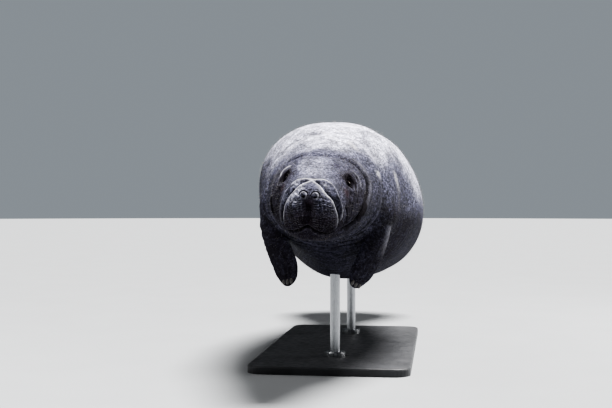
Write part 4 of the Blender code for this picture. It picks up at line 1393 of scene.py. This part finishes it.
nailFinish = nailMaterial()
for name, shape in flippers.items():
    made = bmesh.new()
    for sideways in nails["sideways"]:
        place, forward, across, over = flipperFrame(shape, np.array([0.955 - 6 * sideways**2]))
        spot = pose(place[0] + sideways * across[0] + shape["side"] * nails["lift"] * over[0])
        turn = Matrix([across[0], over[0] * shape["side"], forward[0]]).transposed().to_4x4()
        plate = bmesh.ops.create_uvsphere(made, u_segments=28, v_segments=18, radius=1.0)
        for vertex in plate["verts"]:
            co = vertex.co
            square = (abs(co.x) ** 2.8 + abs(co.z) ** 2.8) ** (1 / 2.8)
            flat = max(1.0, square) if co.z > 0 else 1.0
            co.y = co.y * (0.85 if co.y > 0 else 0.6)
            co.y += 0.1 * cos(co.x * 9) * (1 - co.x * co.x) * (0.5 + 0.5 * co.z) * (co.y > 0)
            co.z = co.z * (1.08 if co.z > 0 else 0.95) / flat
        matrix = Matrix.Translation(Vector(spot)) @ turn @ Matrix.Diagonal((*nails["sizes"], 1.0))
        bmesh.ops.transform(made, matrix=matrix, verts=plate["verts"])
    bmesh.ops.recalc_face_normals(made, faces=made.faces)
    data = meshOf(made, "nails_" + name)
    data.materials.append(nailFinish)
    data.shade_smooth()
    plates = addObject("nails_" + name, data)
    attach(plates, "root")
print("nails set")

# Bristles of the muzzle and the fine hairs of the body, scattered by Geometry Nodes
coats = {
    "muzzle_bristles": {
        "Density": 26000.0, "Seed": 7, "Length": 0.0085, "Spread": 0.55, "Thickness": 0.00042,
        "Bend": 0.28, "Lean": 0.35, "Stray": 0.3, "Bends": 3,
    },
    "body_hairs": {
        "Density": 2850.0, "Seed": 11, "Length": 0.0155, "Spread": 0.5, "Thickness": 0.00034,
        "Bend": 0.35, "Lean": 0.55, "Stray": 0.45, "Bends": 2,
    },
}
coatColours = {
    "muzzle_bristles": ((0.036, 0.029, 0.028), (0.12, 0.102, 0.095)),
    "body_hairs": ((0.115, 0.106, 0.104), (0.25, 0.238, 0.232)),
}


def hairTree(name, values):
    tree = bpy.data.node_groups.new(name, "GeometryNodeTree")
    kinds = {key: "Int" if isinstance(value, int) else "Float" for key, value in values.items()}
    for label, kind in {"Geometry": "Geometry", **kinds, "Finish": "Material"}.items():
        tree.interface.new_socket(label, in_out="INPUT", socket_type="NodeSocket" + kind)
    tree.interface.new_socket("Geometry", in_out="OUTPUT", socket_type="NodeSocketGeometry")
    source = addNode(tree, "NodeGroupInput").outputs

    def add(kind, inputs=(), **settings):
        return addNode(tree, kind, inputs, **settings).outputs

    def named(label, kind="FLOAT"):
        return add("GeometryNodeInputNamedAttribute", {"Name": label}, data_type=kind)["Attribute"]

    def vector(operation, inputs):
        return add("ShaderNodeVectorMath", inputs, operation=operation)[0]

    # roots
    density = times(tree, source["Density"], named("growth"))
    inputs = {"Mesh": source["Geometry"], "Density": density, "Seed": source["Seed"]}
    scatter = add("GeometryNodeDistributePointsOnFaces", inputs, distribute_method="RANDOM")
    # one hair, a bent tapering tube one metre long, scaled to its length later
    end = add("ShaderNodeCombineXYZ", {"X": source["Bend"], "Z": 0.92})[0]
    ends = {"Start": (0.0, 0.0, -0.06), "Middle": (0.0, 0.0, 0.5), "End": end}
    arc = add("GeometryNodeCurveQuadraticBezier", {**ends, "Resolution": source["Bends"]})["Curve"]
    radius = mathNode(tree, "DIVIDE", source["Thickness"], source["Length"])
    inputs = {"Resolution": 3, "Radius": radius}
    circle = add("GeometryNodeCurvePrimitiveCircle", inputs, mode="RADIUS")["Curve"]
    along = add("GeometryNodeSplineParameter")["Factor"]
    taper = mathNode(tree, "MULTIPLY_ADD", along, -0.82, 1.0)
    inputs = {"Curve": arc, "Profile Curve": circle, "Scale": taper, "Fill Caps": True}
    tube = add("GeometryNodeCurveToMesh", inputs)["Mesh"]
    inputs = {"Geometry": tube, "Name": "tuftAt", "Value": add("GeometryNodeInputPosition")[0]}
    hair = add("GeometryNodeStoreNamedAttribute", inputs, data_type="FLOAT_VECTOR", domain="POINT")[0]
    # direction: out of the skin, leaned along the lay, with some stray
    inputs = {0: (-1.0, -1.0, -1.0), 1: (1.0, 1.0, 1.0), "Seed": source["Seed"]}
    stray = add("FunctionNodeRandomValue", inputs, data_type="FLOAT_VECTOR")[0]
    lay = named("lay", "FLOAT_VECTOR")
    heading = vector("ADD", {0: scatter["Normal"], 1: vector("SCALE", {0: lay, "Scale": source["Lean"]})})
    heading = vector("ADD", {0: heading, 1: vector("SCALE", {0: stray, "Scale": source["Stray"]})})
    inputs = {"Vector": vector("NORMALIZE", {0: heading})}
    upright = add("FunctionNodeAlignRotationToVector", inputs, axis="Z")[0]
    inputs = {"Rotation": upright, "Vector": lay}
    turned = add("FunctionNodeAlignRotationToVector", inputs, axis="X", pivot_axis="Z")[0]
    shortest = times(tree, source["Length"], mathNode(tree, "SUBTRACT", 1.0, source["Spread"]))
    inputs = {2: shortest, 3: source["Length"], "Seed": mathNode(tree, "ADD", source["Seed"], 1.0)}
    size = add("FunctionNodeRandomValue", inputs, data_type="FLOAT")[1]
    inputs = {"Points": scatter["Points"], "Instance": hair, "Rotation": turned, "Scale": size}
    placed = add("GeometryNodeInstanceOnPoints", inputs)["Instances"]
    whole = add("GeometryNodeRealizeInstances", {"Geometry": placed})["Geometry"]
    # each hair's patch of the bake map lies at its root's place on the unwrapped skin
    patch = vector("SUBTRACT", {0: named("tuftAt", "FLOAT_VECTOR"), 1: (0.15, 0.0, 0.45)})
    patch = add("ShaderNodeSeparateXYZ", {0: vector("SCALE", {0: patch, "Scale": 0.0028})})
    inputs = {"X": mathNode(tree, "ADD", patch["X"], patch["Y"]), "Y": patch["Z"]}
    flat = add("ShaderNodeCombineXYZ", inputs)[0]
    bakePlace = vector("ADD", {0: named("rootPlace", "FLOAT_VECTOR"), 1: flat})
    inputs = {"Geometry": whole, "Name": "OFBake", "Value": bakePlace}
    mapped = add("GeometryNodeStoreNamedAttribute", inputs, data_type="FLOAT2", domain="CORNER")["Geometry"]
    finished = add("GeometryNodeSetMaterial", {"Geometry": mapped, "Material": source["Finish"]})["Geometry"]
    addNode(tree, "NodeGroupOutput", {0: finished})
    return tree


def hairMaterial(name, dark, light):
    made, tree, shader = newMaterial(name)
    tone = noise(tree, objectPlace(tree), 160.0, 2.0, 0.5)
    feed(tree, shader, {
        "Base Color": mixColour(tree, spread(tree, tone, 0.35, 0.65), dark, light),
        "Roughness": spread(tree, tone, 0.35, 0.65, 0.38, 0.55),
    })
    return made


# The part of a direction that lies along the skin
def alongSkin(way):
    flat = way - np.sum(way * normals, axis=1, keepdims=True) * normals
    return flat / np.maximum(np.linalg.norm(flat, axis=1, keepdims=True), 1e-6)


# Where the hairs grow, and which way they lie
padInside = -outsideOf(headPoints, "pad")
nostrilFar = farFromAny(headPoints[:, [0, 2]], [spot[[0, 2]] for spot in nostrilSpots])
bristleMask = (bodyY < 0.11) * smooth(0.004, 0.014, padInside) * falling(0.012, 0.034, headZ)
bristleMask = bristleMask * smooth(0.004, 0.014, wide) * smooth(0.013, 0.018, nostrilFar)
bristleMask = bristleMask * (0.35 + 0.65 * falling(-0.06, -0.01, headZ))
underMouth = mouthHeight(headX) - headZ
chinMask = (bodyY < 0.09) * smooth(0.002, 0.006, underMouth) * falling(0.03, 0.05, underMouth) * (wide < 0.07)
bristleMask = np.maximum(bristleMask, 0.75 * chinMask)
hairMask = smooth(0.022, 0.035, farFromAny(headPoints, eyeSpots))
hairMask = hairMask * (1 - 0.85 * np.clip(bristleMask, 0, 1)) * (bodyY > 0.06)
hairMask = hairMask * (0.45 + 0.55 * smooth(-0.5, 0.3, upwards))
mapX, mapY = source["root"][:, :2].T
hairMask = hairMask * np.where(mapY < 1, (mapX > 0.03) & (mapX < 0.97), 1)
layBack = alongSkin(np.array([0.0, 1.0, -0.15]))
layDown = alongSkin(np.stack([np.sign(headX) * 0.35, 0 * headX + 0.1, 0 * headX - 1.0], axis=1))
for name, mask, lay in (("muzzle_bristles", bristleMask, layDown), ("body_hairs", hairMask, layBack)):
    made = addObject(name, skinData.copy())
    setAttribute(made.data, "growth", np.clip(mask, 0, 1))
    setAttribute(made.data, "lay", lay)
    setAttribute(made.data, "rootPlace", source["root"])
    change = made.modifiers.new("grow", "NODES")
    change.node_group = hairTree(name, coats[name])
    items = change.node_group.interface.items_tree
    sockets = {item.name: item.identifier for item in items if item.in_out == "INPUT"}
    for label, value in coats[name].items():
        change[sockets[label]] = value
    change[sockets["Finish"]] = hairMaterial(name, *coatColours[name])
    graph = bpy.context.evaluated_depsgraph_get()
    grown = bpy.data.meshes.new_from_object(made.evaluated_get(graph))
    made.modifiers.clear()
    made.data = grown
    dropAttributes(grown, "growth", "lay", "rootPlace", "tuftAt", *marks)
    grown.shade_smooth()
    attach(made, "root")
    print(name, "grown,", trianglesOf(grown), "triangles, maps", [u.name for u in grown.uv_layers])

# Stand: satin paint on the base, brushed steel rods
stand = {
    "paintDark": (0.036, 0.037, 0.04),
    "paintLight": (0.058, 0.059, 0.064),
    "steelDark": (0.34, 0.35, 0.365),
    "steelLight": (0.5, 0.51, 0.525),
}


def paintMaterial():
    made, tree, shader = newMaterial("satinPaint")
    place = objectPlace(tree)
    cloud = noise(tree, place, 9.0, 6.0, 0.6)
    feed(tree, shader, {
        "Base Color": mixColour(tree, spread(tree, cloud, 0.3, 0.7), stand["paintDark"], stand["paintLight"]),
        "Roughness": spread(tree, noise(tree, place, 40.0, 5.0, 0.6), 0.3, 0.7, 0.36, 0.52),
        "Normal": bumped(tree, noise(tree, place, 480.0, 3.0, 0.5), 0.0004, 0.35),
    })
    return made


def steelMaterial():
    made, tree, shader = newMaterial("brushedSteel")
    stretch = addNode(tree, "ShaderNodeMapping", {"Vector": objectPlace(tree), "Scale": (1.0, 1.0, 0.02)})
    lines = noise(tree, stretch.outputs[0], 900.0, 3.0, 0.5)
    feed(tree, shader, {
        "Base Color": mixColour(tree, spread(tree, lines, 0.3, 0.7), stand["steelDark"], stand["steelLight"]),
        "Metallic": 1.0,
        "Roughness": spread(tree, lines, 0.3, 0.7, 0.24, 0.4),
        "Normal": bumped(tree, lines, 0.0002, 0.3),
    })
    return made


finishes = {"stand_base": paintMaterial, "stand_rod_front": steelMaterial, "stand_rod_rear": steelMaterial}
for name, newFinish in finishes.items():
    finish = newFinish()
    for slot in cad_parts[name].material_slots:
        slot.material = finish
print("stand finished")

# Floor, light and camera. A lamp has its size, power and colour, its place and the point it is aimed at.
studio = {
    "floorColour": (0.245, 0.252, 0.262),
    "worldColour": (0.62, 0.68, 0.74, 1.0),
    "worldStrength": 0.056,
    "backdropStrength": 0.204,
    "sunStrength": 6.8,
    "sunAngle": radians(22),
    "sunFrom": (0.24, 0.2, 1.0),
    "sunColour": (1.0, 0.985, 0.96),
    "lamps": {
        "fillLight": (2.0, 1.5, (0.92, 0.96, 1.0), (0.6, -5.0, 2.2), (0, -0.9, 0.6)),
        "leftLight": (1.6, 38.0, (1.0, 0.99, 0.97), (3.0, 1.1, 1.9), (0.2, -0.4, 0.75)),
        "rightLight": (1.6, 26.0, (1.0, 0.99, 0.97), (-2.0, -1.3, 2.6), (-0.05, -1.0, 0.65)),
    },
    "exposure": 0.856,
}


def plainFloor():
    made = bmesh.new()
    bmesh.ops.create_circle(made, cap_ends=True, segments=96, radius=40.0)
    floor = addObject("floor", meshOf(made, "floor"))
    finish, tree, shader = newMaterial("paleFloor")
    tone = noise(tree, objectPlace(tree), 3.0, 4.0, 0.5)
    base = studio["floorColour"]
    colour = mixColour(tree, spread(tree, tone, 0.3, 0.7), [c * 0.97 for c in base], base)
    feed(tree, shader, {"Base Color": colour, "Roughness": 0.8})
    floor.data.materials.append(finish)


plainFloor()
sun = bpy.data.lights.new("overheadLight", "SUN")
sun.energy = studio["sunStrength"]
sun.angle = studio["sunAngle"]
sun.color = studio["sunColour"]
addObject("overheadLight", sun).rotation_euler = Vector(studio["sunFrom"]).to_track_quat("Z", "Y").to_euler()
for name, (size, power, colour, place, aim) in studio["lamps"].items():
    lamp = bpy.data.lights.new(name, "AREA")
    lamp.shape = "DISK"
    lamp.size = size
    lamp.energy = power
    lamp.color = colour
    made = addObject(name, lamp)
    made.location = place
    made.rotation_euler = (Vector(aim) - Vector(place)).to_track_quat("-Z", "Y").to_euler()
# The backdrop that the camera sees is brighter than the light the surroundings give
world = bpy.data.worlds.new("studio")
world.use_nodes = True
tree = world.node_tree
around = tree.nodes["Background"]
feed(tree, around, {"Color": studio["worldColour"], "Strength": studio["worldStrength"]})
inputs = {"Color": studio["worldColour"], "Strength": studio["backdropStrength"]}
backdrop = addNode(tree, "ShaderNodeBackground", inputs)
seen = addNode(tree, "ShaderNodeLightPath").outputs["Is Camera Ray"]
either = addNode(tree, "ShaderNodeMixShader", {0: seen, 1: around.outputs[0], 2: backdrop.outputs[0]})
feed(tree, tree.nodes["World Output"], {"Surface": either.outputs[0]})
scene = bpy.context.scene
scene.world = world
scene.view_settings.view_transform = "AgX"
scene.view_settings.look = "AgX - High Contrast"
scene.view_settings.exposure = studio["exposure"]

# Camera: level, a little to the animal's left of straight ahead
view = {
    "turn": radians(7.8),
    "distance": 3.15,
    "offset": 0.0084,
    "focal": 980.0,
    "width": 612,
    "sensor": 36.0,
}
rightWay = Vector((cos(view["turn"]), sin(view["turn"]), 0))
lookWay = Vector((-sin(view["turn"]), cos(view["turn"]), 0))
camera = bpy.data.cameras.new("camera")
camera.sensor_width = view["sensor"]
camera.lens = view["focal"] / view["width"] * view["sensor"]
eye = addObject("camera", camera)
nose = Vector((0, body["snoutY"], body["axisHeight"]))
turnOf = Matrix((rightWay, Vector((0, 0, 1)), -lookWay)).transposed().to_4x4()
eye.matrix_world = Matrix.Translation(nose - view["distance"] * lookWay - view["offset"] * rightWay) @ turnOf
scene.camera = eye
print("studio set")
